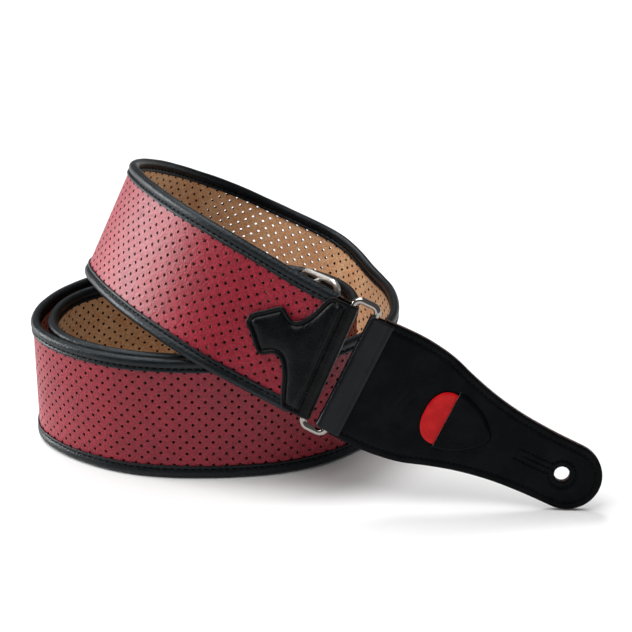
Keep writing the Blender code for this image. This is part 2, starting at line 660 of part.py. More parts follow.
def main():
    clear_scene()
    parts = make_collection("guitar_strap")
    cutters = make_collection("cutters")
    materials = {name: make_material(name) for name in COLOURS}

    strap = Ribbon(STRAP_PATH)
    strap.stops = sorted(strap.stops + [BINDING_FRONT_START, strap.length - BINDING_REAR_END])
    place, along, width, face = (Vector(v) for v in strap.at(0.0))
    front = frame_matrix(place, -along, width, face)
    place, along, width, face = (Vector(v) for v in strap.at(strap.length))
    rear = frame_matrix(place, along, -width, face)
    build_strap(strap, parts, materials)
    build_patches(strap, front, rear, parts, materials)

    to_wire = Matrix.Translation((RING_FROM_STRAP * MM, 0.0, 0.0))
    across_ring = Matrix.Translation((RING_ALONG * MM, 0.0, 0.0))
    ring_frame = front @ to_wire @ Matrix.Rotation(FRONT_RING_SWING, 4, "Y")
    build_ring("front_ring", ring_frame, parts, materials)
    tab_hinge = ring_frame @ across_ring
    tab_frame = (tab_hinge @ Matrix.Rotation(TAB_SWING - FRONT_RING_SWING, 4, "Y")
                 @ Matrix.Rotation(-TAB_TURN, 4, "Z") @ Matrix.Translation((0.0, -TAB_SLIP * MM, 0.0)))
    tab_pivot = add_object("front_tab_pivot", None, parts, None, tab_hinge)
    for piece in build_front_tab(tab_frame, parts, cutters, materials):
        parent_to(piece, tab_pivot)

    rear_ring_frame = rear @ to_wire @ Matrix.Rotation(REAR_RING_SWING, 4, "Y")
    build_ring("rear_ring", rear_ring_frame, parts, materials)
    tail_frame = rear_ring_frame @ across_ring @ Matrix.Rotation(TAIL_TURN, 4, "Y")
    bend = build_tail_bend(tail_frame, STRAP_PATH[-1][2])
    tail_pivot = add_object("tail_pivot", None, parts, None, tail_frame)
    tail_pieces = [build_tail(tail_frame, bend, parts, materials),
                   build_bar_loop(tail_frame, parts, materials),
                   build_slider(tail_frame, parts, cutters, materials)]
    tail_pieces += build_rear_tab(bend, parts, cutters, materials)
    for piece in tail_pieces:
        parent_to(piece, tail_pivot)
    return strap, front, ring_frame, tab_hinge, tab_frame, rear, rear_ring_frame, tail_frame, bend


if __name__ == "__main__":
    main()
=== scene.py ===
"""A coiled, perforated leather guitar strap on a pale table.

The strap is a 60 mm ribbon with rolled black edges. Its front ring and tab hang at the front, and
its rear end, with the slider and the rear tab, lies inside the coil. Lengths in this file are in
millimetres and become metres when a mesh is made.
"""
import math

import bpy
import numpy as np
from mathutils import Matrix, Vector
from mathutils.geometry import delaunay_2d_cdt


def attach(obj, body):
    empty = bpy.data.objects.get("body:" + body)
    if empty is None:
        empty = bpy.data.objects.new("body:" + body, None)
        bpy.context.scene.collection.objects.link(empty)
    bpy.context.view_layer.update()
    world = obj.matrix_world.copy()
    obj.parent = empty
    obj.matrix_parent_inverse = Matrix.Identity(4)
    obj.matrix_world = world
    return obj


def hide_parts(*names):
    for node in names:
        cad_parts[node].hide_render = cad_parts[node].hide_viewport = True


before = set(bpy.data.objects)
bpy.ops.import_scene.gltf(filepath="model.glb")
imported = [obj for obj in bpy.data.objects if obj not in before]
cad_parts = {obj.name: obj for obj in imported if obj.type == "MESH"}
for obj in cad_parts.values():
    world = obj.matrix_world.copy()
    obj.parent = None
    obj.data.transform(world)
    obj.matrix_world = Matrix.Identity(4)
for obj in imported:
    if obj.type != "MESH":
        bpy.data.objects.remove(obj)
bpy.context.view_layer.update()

MM = 0.001

# ---- camera ----
camera_data = bpy.data.cameras.new("camera")
camera_data.lens = 97.29
camera_data.sensor_width = 36.0
camera = bpy.data.objects.new("camera", camera_data)
camera.location = (0.00476, -0.7693, 0.37557)
camera.rotation_euler = (math.radians(67.38), 0.0, 0.0)
bpy.context.scene.collection.objects.link(camera)
bpy.context.scene.camera = camera

# ---- the strap ----
HALF_WIDTH = 30.0
LEATHER_REACH = 25.4
RED_LAYER = (0.4, 1.3)
TAN_LAYER = (-1.3, 0.15)
HOLE_RADIUS = 0.76
HOLE_ALONG = 3.03             # between columns of holes; every other hole of a column is missing
HOLE_ACROSS = 2.94            # between rows
ROWS = 8                      # rows of holes on each side of the middle one
ROLL_RADIUS = 2.3
BINDING_FRONT_START = 1.6
BINDING_REAR_END = 3.0
STITCH = 3.2

# Middle line of the strap as x, y, z, and the lean of its width, from the front end inwards.
UPPER_TURN = [
    (5.2, -75.8, 68.3, 0.44, 0.1), (-14.0, -68.2, 76.0, 0.45, 0.13), (-33.4, -60.6, 84.7, 0.47, 0.23),
    (-57.0, -45.2, 93.7, 0.47, 0.22), (-76.7, -22.3, 98.3, 0.46, 0.19), (-90.6, 3.6, 99.9, 0.46, 0.18),
    (-94.5, 17.0, 99.3, 0.46, 0.18), (-94.3, 31.0, 97.0, 0.46, 0.18), (-86.0, 54.7, 89.2, 0.46, 0.18),
    (-67.0, 79.7, 75.2, 0.46, 0.18), (-50.0, 87.5, 66.0, 0.46, 0.18), (-32.0, 89.3, 57.0, 0.46, 0.18),
    (-8.5, 84.0, 47.5, 0.35, 0.14), (5.5, 79.5, 42.0, 0.26, 0.1), (17.5, 70.7, 37.0, 0.16, 0.06),
    (32.0, 50.7, 31.5, 0.06, 0.02),
]
# The lower turns stand upright on the table, with their middle line at one height.
STANDING_HEIGHT = 30.0
LOWER_TURNS = [
    (41.3, 32.4), (43.5, 15.5), (42.5, -4.0), (36.5, -19.0), (25.5, -32.0), (16.5, -41.0),
    (2.0, -51.0), (-15.0, -57.5), (-32.5, -60.4), (-50.5, -61.2), (-69.0, -60.0), (-86.5, -55.5),
    (-102.5, -47.5), (-116.5, -36.2), (-127.0, -21.5), (-130.2, -6.0), (-128.5, 8.5), (-122.5, 24.2),
    (-112.0, 39.0), (-98.0, 50.0), (-79.5, 58.5), (-55.0, 63.2), (-30.0, 62.8), (-9.0, 57.8),
    (9.5, 46.0), (20.0, 31.5), (24.0, 12.0), (20.8, -5.5), (10.0, -22.7), (-5.0, -40.0),
    (-19.5, -50.0), (-34.0, -54.8), (-51.0, -55.8), (-68.5, -54.3), (-85.0, -49.8), (-99.5, -42.5),
    (-112.0, -32.5), (-120.3, -17.5), (-121.0, 2.0), (-115.5, 18.0), (-106.0, 29.0),
]
# The inmost end climbs a little, still upright.
INMOST_END = [
    (-90.0, 37.5, 30.4), (-70.0, 42.5, 31.8), (-50.0, 44.4, 33.0), (-30.0, 44.3, 33.4),
]
STRAP_PATH = (UPPER_TURN + [(x, y, STANDING_HEIGHT, 0.0, 0.0) for x, y in LOWER_TURNS]
              + [(x, y, z, 0.0, 0.0) for x, y, z in INMOST_END])
ORIGIN_SHIFT = (-0.24, -1.3, -0.03)

# ---- hardware ----
WIRE_RADIUS = 1.6
RING_ACROSS = 63.4
RING_ALONG = 11.2
RING_FROM_STRAP = 6.1
FRONT_RING_SWING = math.radians(6.0)
SLIDER_LENGTH = 30.0
SLIDER_ACROSS = 66.6
SLIDER_START = 10.0
SLIDER_RISE = 5.7
CENTRE_BAR_RADIUS = 1.3
CENTRE_BAR_DROP = -0.6

# ---- leather ends ----
PATCH_INNER = 2.6             # height of a patch's inner face over the strap's middle
TUNNEL_INNER = 1.9            # the same round a ring's wire
TUNNEL_HALF = 28.2
TAB_SWING = math.radians(16.2)
TAB_TURN = math.radians(2.6)
TAB_SLIP = 0.6
TAB_START = 3.2
TAB_END = 123.3
TAB_TIP_RADIUS = 15.6
BUTTON_HOLE = 105.0
BUTTON_HOLE_RADIUS = 3.5
SLOT_START = 82.0             # where the pressed keyhole's slot ends, along the tab
KEYHOLE_RADIUS = 6.2
KEYHOLE_HALF = 2.6            # half the slot's width
PICK_START = 36.6
PICK_LENGTH = 30.4
PICK_WIDTH = 25.6
POCKET_MOUTH = 47.0

# ---- tail and rear tab ----
REAR_RING_SWING = math.radians(3.9)
TAIL_TURN = math.radians(45.4)
TAIL_HALF = 28.0
TAIL_THICKNESS = 1.6
TAIL_LAYER = 3.0
TAIL_STRAIGHT = 44.0
TAIL_BEND = [(16.8, 4.0), (13.6, -5.0), (5.0, -18.0), (-9.0, -34.6), (-22.5, -44.6), (-35.0, -48.6),
             (-51.0, -49.6), (-68.0, -47.8), (-84.0, -43.0)]
TAIL_END = 66.0
REAR_TAB_START = 33.0
REAR_TAB_LENGTH = 108.0
REAR_TAB_TIP = 15.0


# ---- curves in space ----
def unit(vectors):
    return vectors / np.linalg.norm(vectors, axis=1)[:, None]


def smooth_curve(points, step=1.0):
    """Natural cubic spline through points of any dimension, sampled every step of length."""
    knots = np.array(points, float)
    chord = np.r_[0.0, np.cumsum(np.linalg.norm(np.diff(knots[:, :2], axis=0), axis=1))]
    h = np.diff(chord)
    n = len(knots)
    system = np.eye(n)
    right = np.zeros_like(knots)
    for i in range(1, n - 1):
        system[i, i - 1:i + 2] = (h[i - 1], 2.0 * (h[i - 1] + h[i]), h[i])
        right[i] = 6.0 * ((knots[i + 1] - knots[i]) / h[i] - (knots[i] - knots[i - 1]) / h[i - 1])
    bend = np.linalg.solve(system, right)
    at = np.linspace(0.0, chord[-1], int(chord[-1] / step * 2) + 2)
    span = np.clip(np.searchsorted(chord, at, side="right") - 1, 0, n - 2)
    a = ((chord[span + 1] - at) / h[span])[:, None]
    b = 1.0 - a
    hs = h[span][:, None]
    curve = (a * knots[span] + b * knots[span + 1]
             + ((a ** 3 - a) * bend[span] + (b ** 3 - b) * bend[span + 1]) * hs ** 2 / 6.0)
    length = np.r_[0.0, np.cumsum(np.linalg.norm(np.diff(curve[:, :3], axis=0), axis=1))]
    even = np.linspace(0.0, length[-1], int(length[-1] / step) + 1)
    return np.stack([np.interp(even, length, curve[:, k]) for k in range(curve.shape[1])], axis=1)


class Ribbon:
    """A path with a width direction and a face direction at every point along it."""

    def __init__(self, points):
        curve = smooth_curve(points)
        self.place = curve[:, :3] + np.array(ORIGIN_SHIFT)
        self.along = unit(np.gradient(self.place, axis=0))
        lean = np.column_stack([curve[:, 3:5], np.ones(len(curve))])
        lean -= np.sum(lean * self.along, axis=1)[:, None] * self.along
        self.width = unit(lean)
        self.face = np.cross(self.width, self.along)
        steps = np.linalg.norm(np.diff(self.place, axis=0), axis=1)
        self.distance = np.r_[0.0, np.cumsum(steps)]
        self.length = self.distance[-1]

    def frames(self, distance):
        """Arrays of place, direction along, width and face at distances from the start."""
        distance = np.atleast_1d(np.asarray(distance, float))
        fields = [np.stack([np.interp(distance, self.distance, row) for row in field.T], axis=1)
                  for field in (self.place, self.along, self.width, self.face)]
        return [fields[0]] + [unit(v) for v in fields[1:]]

    def points(self, distance, height, across):
        distance, height, across = np.broadcast_arrays(distance, height, across)
        place, _, width, face = self.frames(distance.ravel())
        spot = place + face * height.ravel()[:, None] + width * across.ravel()[:, None]
        return spot.reshape(distance.shape + (3,))


def frame_matrix(origin, along, across, face):
    """Local X along, Y across, Z out of the face, with its origin in millimetres."""
    matrix = Matrix((Vector(along), Vector(across), Vector(face))).transposed().to_4x4()
    matrix.translation = Vector(origin)
    return matrix


def through(matrix, points):
    """Points in a local frame, moved to the world."""
    m = np.array(matrix)
    return points @ m[:3, :3].T + m[:3, 3]


def shift(x, y=0.0, z=0.0):
    return Matrix.Translation((x, y, z))


def ease(x, low, high):
    t = np.clip((np.asarray(x, float) - low) / (high - low), 0.0, 1.0)
    return t * t * (3.0 - 2.0 * t)


def bump(x, middle, spread):
    return np.exp(-((np.asarray(x, float) - middle) / spread) ** 2)


def eased_through(x, xs, ys):
    """Smooth curve through a few stations, without overshoot at the level ones."""
    xs, ys = np.array(xs, float), np.array(ys, float)
    slope = np.gradient(ys, xs)
    x = np.clip(np.asarray(x, float), xs[0], xs[-1])
    i = np.clip(np.searchsorted(xs, x, side="right") - 1, 0, len(xs) - 2)
    h = xs[i + 1] - xs[i]
    t = (x - xs[i]) / h
    return ((2 * t ** 3 - 3 * t ** 2 + 1) * ys[i] + (t ** 3 - 2 * t ** 2 + t) * h * slope[i]
            + (3 * t ** 2 - 2 * t ** 3) * ys[i + 1] + (t ** 3 - t ** 2) * h * slope[i + 1])


strap = Ribbon(STRAP_PATH)
start_frame = [v[0] for v in strap.frames(0.0)]
end_frame = [v[0] for v in strap.frames(strap.length)]
front = frame_matrix(start_frame[0], -start_frame[1], start_frame[2], start_frame[3])
rear = frame_matrix(end_frame[0], end_frame[1], -end_frame[2], end_frame[3])
ring_frame = front @ shift(RING_FROM_STRAP) @ Matrix.Rotation(FRONT_RING_SWING, 4, "Y")
tab_frame = (ring_frame @ shift(RING_ALONG) @ Matrix.Rotation(TAB_SWING - FRONT_RING_SWING, 4, "Y")
             @ Matrix.Rotation(-TAB_TURN, 4, "Z") @ shift(0.0, -TAB_SLIP))
rear_ring_frame = rear @ shift(RING_FROM_STRAP) @ Matrix.Rotation(REAR_RING_SWING, 4, "Y")
tail_frame = rear_ring_frame @ shift(RING_ALONG) @ Matrix.Rotation(TAIL_TURN, 4, "Y")
straight_end = [np.array(tail_frame @ Vector((x, 0.0, TAIL_LAYER))) - np.array(ORIGIN_SHIFT)
                for x in (TAIL_STRAIGHT - 8.0, TAIL_STRAIGHT)]
bend = Ribbon([(x, y, STRAP_PATH[-1][2], 0.0, 0.0) for x, y in
               [(p[0], p[1]) for p in straight_end] + TAIL_BEND])


# ---- materials ----
SPECKLE_SHARE = 0.78          # weight of the finer noise where a material has one
GRAIN_SHARE = 0.6             # height of the grain beside that of the rounded cells
SHADE_SPAN = (0.42, 0.60)     # noise values of a material's first and second shade


def new_material(name, colour, roughness, metallic=0.0, **shader_values):
    material = bpy.data.materials.new(name)
    material.use_nodes = True
    shader = material.node_tree.nodes["Principled BSDF"]
    shader.inputs["Base Color"].default_value = (*colour, 1.0)
    shader.inputs["Roughness"].default_value = roughness
    shader.inputs["Metallic"].default_value = metallic
    for key, value in shader_values.items():
        shader.inputs[key.replace("_", " ")].default_value = value
    return material


def node(tree, kind, **values):
    made = tree.nodes.new(kind)
    for key, value in values.items():
        if key in made.inputs:
            made.inputs[key].default_value = value
        else:
            setattr(made, key, value)
    return made


def texture(tree, where, kind, output, **values):
    """One output of a texture laid in the piece's own space."""
    made = node(tree, "ShaderNodeTex" + kind, **values)
    tree.links.new(where.outputs["Object"], made.inputs["Vector"])
    return made.outputs[output]


def weighted(tree, value, weight, added=None):
    """A value times a weight, plus another value if there is one."""
    made = node(tree, "ShaderNodeMath", operation="MULTIPLY" if added is None else "MULTIPLY_ADD")
    made.inputs[1].default_value = weight
    tree.links.new(value, made.inputs[0])
    if added is not None:
        tree.links.new(added, made.inputs[2])
    return made.outputs[0]


def mottle(material, where, first, second, scale, fine):
    """Colour that drifts between two shades, with an optional finer speckle between them."""
    tree = material.node_tree
    amount = texture(tree, where, "Noise", "Fac", Scale=scale, Detail=4.0, Roughness=0.6)
    if fine:
        speck = texture(tree, where, "Noise", "Fac", Scale=fine, Detail=3.0, Roughness=0.7)
        amount = weighted(tree, speck, SPECKLE_SHARE, weighted(tree, amount, 1.0 - SPECKLE_SHARE))
    ramp = node(tree, "ShaderNodeValToRGB")
    for stop, position, colour in zip(ramp.color_ramp.elements, SHADE_SPAN, (first, second)):
        stop.position = position
        stop.color = (*colour, 1.0)
    tree.links.new(amount, ramp.inputs["Fac"])
    tree.links.new(ramp.outputs["Color"], tree.nodes["Principled BSDF"].inputs["Base Color"])


def relief(material, where, cells, grain, depth, roughness):
    """Leather relief: small rounded cells broken up by finer noise, and uneven gloss."""
    tree = material.node_tree
    shader = tree.nodes["Principled BSDF"]
    height = texture(tree, where, "Noise", "Fac", Scale=grain, Detail=4.0, Roughness=0.65)
    if cells:
        pebble = texture(tree, where, "Voronoi", "Distance", feature="SMOOTH_F1", Scale=cells, Smoothness=0.6)
        height = weighted(tree, height, GRAIN_SHARE, pebble)
    dent = node(tree, "ShaderNodeBump", Strength=1.0, Distance=depth * MM)
    tree.links.new(height, dent.inputs["Height"])
    tree.links.new(dent.outputs["Normal"], shader.inputs["Normal"])
    gloss = node(tree, "ShaderNodeMapRange")
    gloss.inputs["To Min"].default_value, gloss.inputs["To Max"].default_value = roughness
    broad = texture(tree, where, "Noise", "Fac", Scale=grain / 12.0, Detail=3.0)
    tree.links.new(broad, gloss.inputs["Value"])
    tree.links.new(gloss.outputs["Result"], shader.inputs["Roughness"])


def leather(name, first, second, cells, grain, depth, roughness, scale, fine=None, **values):
    """Leather, thread or plastic in two close shades, with relief depth millimetres deep."""
    material = new_material(name, first, roughness[0], **values)
    where = node(material.node_tree, "ShaderNodeTexCoord")
    mottle(material, where, first, second, scale, fine)
    relief(material, where, cells, grain, depth, roughness)
    return material


def metal(name, colour, base_roughness, roughness):
    material = new_material(name, colour, base_roughness, 1.0)
    relief(material, node(material.node_tree, "ShaderNodeTexCoord"), None, 420.0, 0.004, roughness)
    return material


RED = leather("red_leather", (0.158, 0.0030, 0.0125), (0.305, 0.0098, 0.0265), 1300.0, 2200.0, 0.17, (0.36, 0.44),
              scale=45.0, fine=1150.0, Sheen_Weight=0.03, Sheen_Roughness=0.3, Specular_IOR_Level=0.32)
TAN = leather("tan_suede", (0.76, 0.350, 0.165), (0.99, 0.680, 0.390), None, 2000.0, 0.16, (0.85, 0.97),
              scale=120.0, fine=1300.0, Sheen_Weight=0.3, Sheen_Roughness=0.5,
              Sheen_Tint=(1.0, 0.82, 0.66, 1.0), Specular_IOR_Level=0.1)
EDGE = leather("binding_leather", (0.0018, 0.0024, 0.0030), (0.0036, 0.0044, 0.0054), 1100.0, 2100.0, 0.14,
               (0.33, 0.46), scale=120.0, Specular_IOR_Level=0.24, Specular_Tint=(0.82, 0.93, 1.0, 1.0))
PATCH = leather("patch_leather", (0.0016, 0.0020, 0.0025), (0.0040, 0.0045, 0.0054), 1000.0, 2000.0, 0.20,
                (0.24, 0.38), scale=150.0, Specular_IOR_Level=0.05, Coat_Weight=0.11, Coat_Roughness=0.18)
SMOOTH = leather("fold_leather", (0.0032, 0.0042, 0.0056), (0.0052, 0.0068, 0.0088), None, 1800.0, 0.05,
                 (0.22, 0.34), scale=90.0, Specular_IOR_Level=0.12, Coat_Weight=0.07, Coat_Roughness=0.15)
TAB = leather("tab_leather", (0.0016, 0.0020, 0.0025), (0.0036, 0.0042, 0.0050), 1500.0, 2600.0, 0.14,
              (0.26, 0.40), scale=80.0, Specular_IOR_Level=0.035, Coat_Weight=0.02, Coat_Roughness=0.2)
RAW = leather("raw_edge", (0.020, 0.010, 0.008), (0.060, 0.024, 0.017), None, 2600.0, 0.10, (0.5, 0.7),
              scale=500.0, Specular_IOR_Level=0.2)
# Blue-grey colour for the pocket's cut edge at its mouth: a painted highlight, the thin light line where that edge
# catches the light.
MOUTH_HIGHLIGHT = leather("pocket_mouth_painted_highlight", (0.050, 0.075, 0.082), (0.11, 0.15, 0.16), None, 2600.0, 0.05, (0.3, 0.5),
                scale=500.0, Specular_IOR_Level=0.3)
THREAD = leather("thread", (0.0008, 0.0010, 0.0013), (0.0026, 0.0030, 0.0036), None, 3500.0, 0.08, (0.4, 0.6),
                 scale=900.0, Specular_IOR_Level=0.05)
CHROME = metal("chrome", (0.30, 0.28, 0.26), 0.12, (0.06, 0.15))
NICKEL = metal("satin_nickel", (0.70, 0.68, 0.65), 0.34, (0.30, 0.42))
PICK = leather("pick_plastic", (0.46, 0.003, 0.005), (0.55, 0.008, 0.010), None, 900.0, 0.02, (0.24, 0.36),
               scale=160.0, Specular_IOR_Level=0.14)
# Near-black colour for the walls of the punched holes: painted shade standing in for the shadow inside the holes.
HOLE_SHADE = leather("hole_wall_painted_shade", (0.006, 0.004, 0.004), (0.020, 0.012, 0.010), None, 2600.0, 0.1, (0.8, 0.95),
                  scale=500.0, Specular_IOR_Level=0.1)
WEB = leather("core_board", (0.05, 0.045, 0.04), (0.09, 0.08, 0.07), None, 1800.0, 0.1, (0.8, 0.95),
              scale=300.0)


# ---- pieces ----
def add_piece(name, points, faces, material, body, replaced=(), slot=None, sharp=38.0, extra=None):
    """One closed piece that rides on a body. extra is a second material and its faces."""
    mesh = bpy.data.meshes.new(name)
    mesh.from_pydata((np.asarray(points, float) * MM).tolist(), [], faces)
    mesh.materials.append(material)
    if extra is not None:
        mesh.materials.append(extra[0])
        which = np.zeros(len(faces), dtype=np.int32)
        which[np.asarray(extra[1], dtype=int)] = 1
        mesh.polygons.foreach_set("material_index", which)
    mesh.shade_smooth()
    mesh.set_sharp_from_angle(angle=math.radians(sharp))
    mesh.update()
    piece = bpy.data.objects.new(name, mesh)
    bpy.context.scene.collection.objects.link(piece)
    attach(piece, body)
    if replaced:
        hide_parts(*replaced)
    return piece


def closed_sweep(sections, loop=False):
    """Points and faces of a solid through sections of equal length; sections is (count, corners, 3)."""
    count, corners = sections.shape[:2]
    index = np.arange(count * corners).reshape(count, corners)
    faces = []
    for i in range(count if loop else count - 1):
        near, far = index[i], index[(i + 1) % count]
        for j in range(corners):
            k = (j + 1) % corners
            faces.append((near[j], near[k], far[k], far[j]))
    if not loop:
        faces.append(tuple(index[0][::-1]))
        faces.append(tuple(index[-1]))
    return sections.reshape(-1, 3), [tuple(int(v) for v in face) for face in faces]


def stitches(name, centres, along, out, length, radius, body):
    """A row of thread stitches, each a short plump bead that dips at both ends."""
    along = unit(along)
    side = unit(np.cross(out, along))
    out = np.cross(along, side)
    rows = [(-0.5, 0.15, -0.9), (-0.36, 0.8, -0.25), (0.0, 1.0, 0.1), (0.36, 0.8, -0.25), (0.5, 0.15, -0.9)]
    around = np.radians(np.arange(0, 360, 60))
    template = np.array([[(t * length, np.cos(a) * r * radius, (np.sin(a) * r + dip) * radius) for a in around]
                         for t, r, dip in rows])
    flat = template.reshape(-1, 3)
    points = (centres[:, None, :] + along[:, None, :] * flat[None, :, :1] + side[:, None, :] * flat[None, :, 1:2]
              + out[:, None, :] * flat[None, :, 2:3])
    _, faces = closed_sweep(template)
    every = []
    for i in range(len(centres)):
        base = i * len(flat)
        every += [tuple(v + base for v in face) for face in faces]
    add_piece(name, points.reshape(-1, 3), every, THREAD, body, slot="black_leather", sharp=80.0)


def perforated_sheet(name, low, high, start, end, dimple, material, replaced, slot):
    """A leather layer of the strap with its staggered round holes cut through; the hole walls are coloured
    near-black as painted shade.
    """
    columns = int(round((end - start) / HOLE_ALONG))
    s = np.linspace(start, end, columns + 1)
    edges = np.r_[-LEATHER_REACH, (np.arange(2 * ROWS + 2) - ROWS - 0.5) * HOLE_ACROSS, LEATHER_REACH]
    grid_s, grid_w = np.meshgrid(s, edges, indexing="ij")
    corner = np.arange(grid_s.size).reshape(grid_s.shape)
    total = grid_s.size
    around = np.radians(22.5 + 45.0 * np.arange(8))
    every_row = range(-ROWS, ROWS + 1)
    spots = [(j, k) for j in range(1, columns) for k in every_row if (j + k) % 2 == 0]
    centre = np.array([(s[j], k * HOLE_ACROSS) for j, k in spots])
    hole_s = centre[:, :1] + HOLE_RADIUS * np.cos(around)[None, :]
    hole_w = centre[:, 1:] + HOLE_RADIUS * np.sin(around)[None, :]
    holes = total + np.arange(hole_s.size).reshape(hole_s.shape)
    layer = total + hole_s.size
    sheets = []
    for height, dip in ((high, -dimple), (low, dimple * 0.6)):
        sheets.append(strap.points(grid_s, height, grid_w).reshape(-1, 3))
        sheets.append(strap.points(hole_s, height + dip, hole_w).reshape(-1, 3))
    faces = []
    for (j, k), o in zip(spots, holes.tolist()):
        m = k + ROWS + 1                                # index of the cell's lower edge
        se, ss, sw = (int(corner[j + 1, m]), int(corner[j, m]), int(corner[j - 1, m]))
        ne, nn, nw = (int(corner[j + 1, m + 1]), int(corner[j, m + 1]), int(corner[j - 1, m + 1]))
        faces += [(se, ne, o[0], o[7]), (ne, o[1], o[0]), (ne, nn, o[1]), (nn, o[2], o[1]), (nn, nw, o[2]),
                  (nw, o[3], o[2]), (nw, sw, o[4], o[3]), (sw, o[5], o[4]), (sw, ss, o[5]), (ss, o[6], o[5]),
                  (ss, se, o[6]), (se, o[7], o[6])]

    def cell(j, m):
        return tuple(int(v) for v in (corner[j, m], corner[j + 1, m], corner[j + 1, m + 1], corner[j, m + 1]))

    faces += [cell(j, k + ROWS + 1) for j, parity in ((0, 0), (columns - 1, columns)) for k in every_row
              if (parity + k) % 2 == 0]
    faces += [cell(j, m) for m in (0, 2 * ROWS + 2) for j in range(columns)]
    top = len(faces)
    faces += [tuple(v + layer for v in face[::-1]) for face in faces[:top]]
    first_wall = len(faces)
    for o in holes.tolist():
        faces += [(o[i], o[(i + 1) % 8], o[(i + 1) % 8] + layer, o[i] + layer) for i in range(8)]
    # The hole walls take the near-black painted-shade material.
    shaded_walls = np.arange(first_wall, len(faces))
    walls = [(corner[:, 0], False), (corner[:, -1], True), (corner[0, :], True), (corner[-1, :], False)]
    for line, flip in walls:
        line = [int(v) for v in line]
        for a, b in zip(line, line[1:]):
            quad = (a, a + layer, b + layer, b)
            faces.append(quad[::-1] if flip else quad)
    piece = add_piece(name, np.vstack(sheets), faces, material, "coiled_strap", replaced, slot, sharp=40.0,
                      extra=(HOLE_SHADE, shaded_walls))


def edge_binding(word, side):
    """Rolled edge over a cord, with a stitched groove and a thin flange on both faces."""
    start, end = BINDING_FRONT_START, strap.length - BINDING_REAR_END
    s = np.arange(start, end + 0.1, 1.6)
    middle = HALF_WIDTH - ROLL_RADIUS
    half = [(1.36, 23.85), (1.8, 23.8), (2.0, 23.95), (2.08, 24.3), (2.02, 24.8), (1.72, 25.15), (1.5, 25.5),
            (1.62, 25.85), (1.95, 26.3)]
    arc = [(ROLL_RADIUS * math.cos(a), middle + ROLL_RADIUS * math.sin(a))
           for a in np.radians(np.linspace(-18, 198, 17))]
    inner = [(-1.34, 24.2), (-1.32, 26.2), (0.0, 26.9), (1.32, 26.2), (1.34, 24.2)]
    section = np.array(half + arc + [(-h, w) for h, w in reversed(half)] + inner)
    h = np.repeat(section[None, :, 0], len(s), axis=0)
    w = np.repeat(section[None, :, 1], len(s), axis=0)
    pucker = np.cos(2 * np.pi * (s - start) / STITCH)[:, None]
    in_groove = bump(w, 25.5, 0.5) * (np.abs(h) > 1.4)
    h = h - np.sign(h) * 0.10 * pucker * in_groove
    swell = 0.05 * np.sin(s / 7.3) + 0.04 * np.sin(s / 3.1 + 1.0 + side)
    on_roll = ease(w, 26.2, 27.2)
    h = h * (1 + 0.35 * swell[:, None] * on_roll)
    w = np.where(w > middle, middle + (w - middle) * (1 + 0.35 * swell[:, None]), w)
    w = w + (0.10 * np.sin(s / 5.7 + side))[:, None] * bump(w, 23.8, 0.5)
    points, faces = closed_sweep(strap.points(np.repeat(s[:, None], section.shape[0], axis=1), h, side * w))
    if side < 0:
        faces = [face[::-1] for face in faces]
    add_piece(f"{word}_edge_binding_leather", points, faces, EDGE, "coiled_strap",
              (f"{word}_edge_binding", f"{word}_filler_cord"), "black_leather", sharp=60.0)
    at = np.arange(start + STITCH / 2, end, STITCH)
    place, along, width, face = strap.frames(at)
    for look, sign in (("outer", 1), ("inner", -1)):
        centres = place + face * sign * 1.62 + width * side * 25.5
        stitches(f"{word}_{look}_stitches", centres, along, face * sign, 2.5, 0.36, "coiled_strap")


def area_sign(outline):
    x, y = outline[:, 0], outline[:, 1]
    return np.sum(x * np.roll(y, -1) - np.roll(x, -1) * y)


def inward(outline):
    """Unit directions to the left of a closed line, which are inward when it runs anticlockwise."""
    ahead = unit(np.roll(outline, -1, axis=0) - np.roll(outline, 1, axis=0))
    return np.column_stack([-ahead[:, 1], ahead[:, 0]])


def resampled(outline, spacing):
    """Closed anticlockwise outline with points about a spacing apart, corners kept."""
    outline = np.asarray(outline, float)
    made = []
    for a, b in zip(outline, np.roll(outline, -1, axis=0)):
        count = max(1, int(round(np.linalg.norm(b - a) / spacing)))
        made += [a + (b - a) * i / count for i in range(count)]
    return np.array(made if area_sign(np.array(made)) > 0 else made[::-1])


def edge_distance(points, outline):
    """Distance from points to a closed outline."""
    a = outline
    d = np.roll(outline, -1, axis=0) - a
    best = np.full(len(points), 1e9)
    for start, step in zip(a, d):
        rel = points - start
        t = np.clip(rel @ step / max(step @ step, 1e-12), 0.0, 1.0)
        best = np.minimum(best, np.hypot(*(rel - t[:, None] * step).T))
    return best


def inside(points, outline):
    x, y = points[:, 0], points[:, 1]
    result = np.zeros(len(points), bool)
    for (x0, y0), (x1, y1) in zip(outline, np.roll(outline, -1, axis=0)):
        if y0 == y1:
            continue
        crossing = ((y0 > y) != (y1 > y)) & (x < (x1 - x0) * (y - y0) / (y1 - y0) + x0)
        result ^= crossing
    return result


EDGE_LEVELS = (0.72, 0.28)    # extra rows of points down a cut edge, as shares of its height


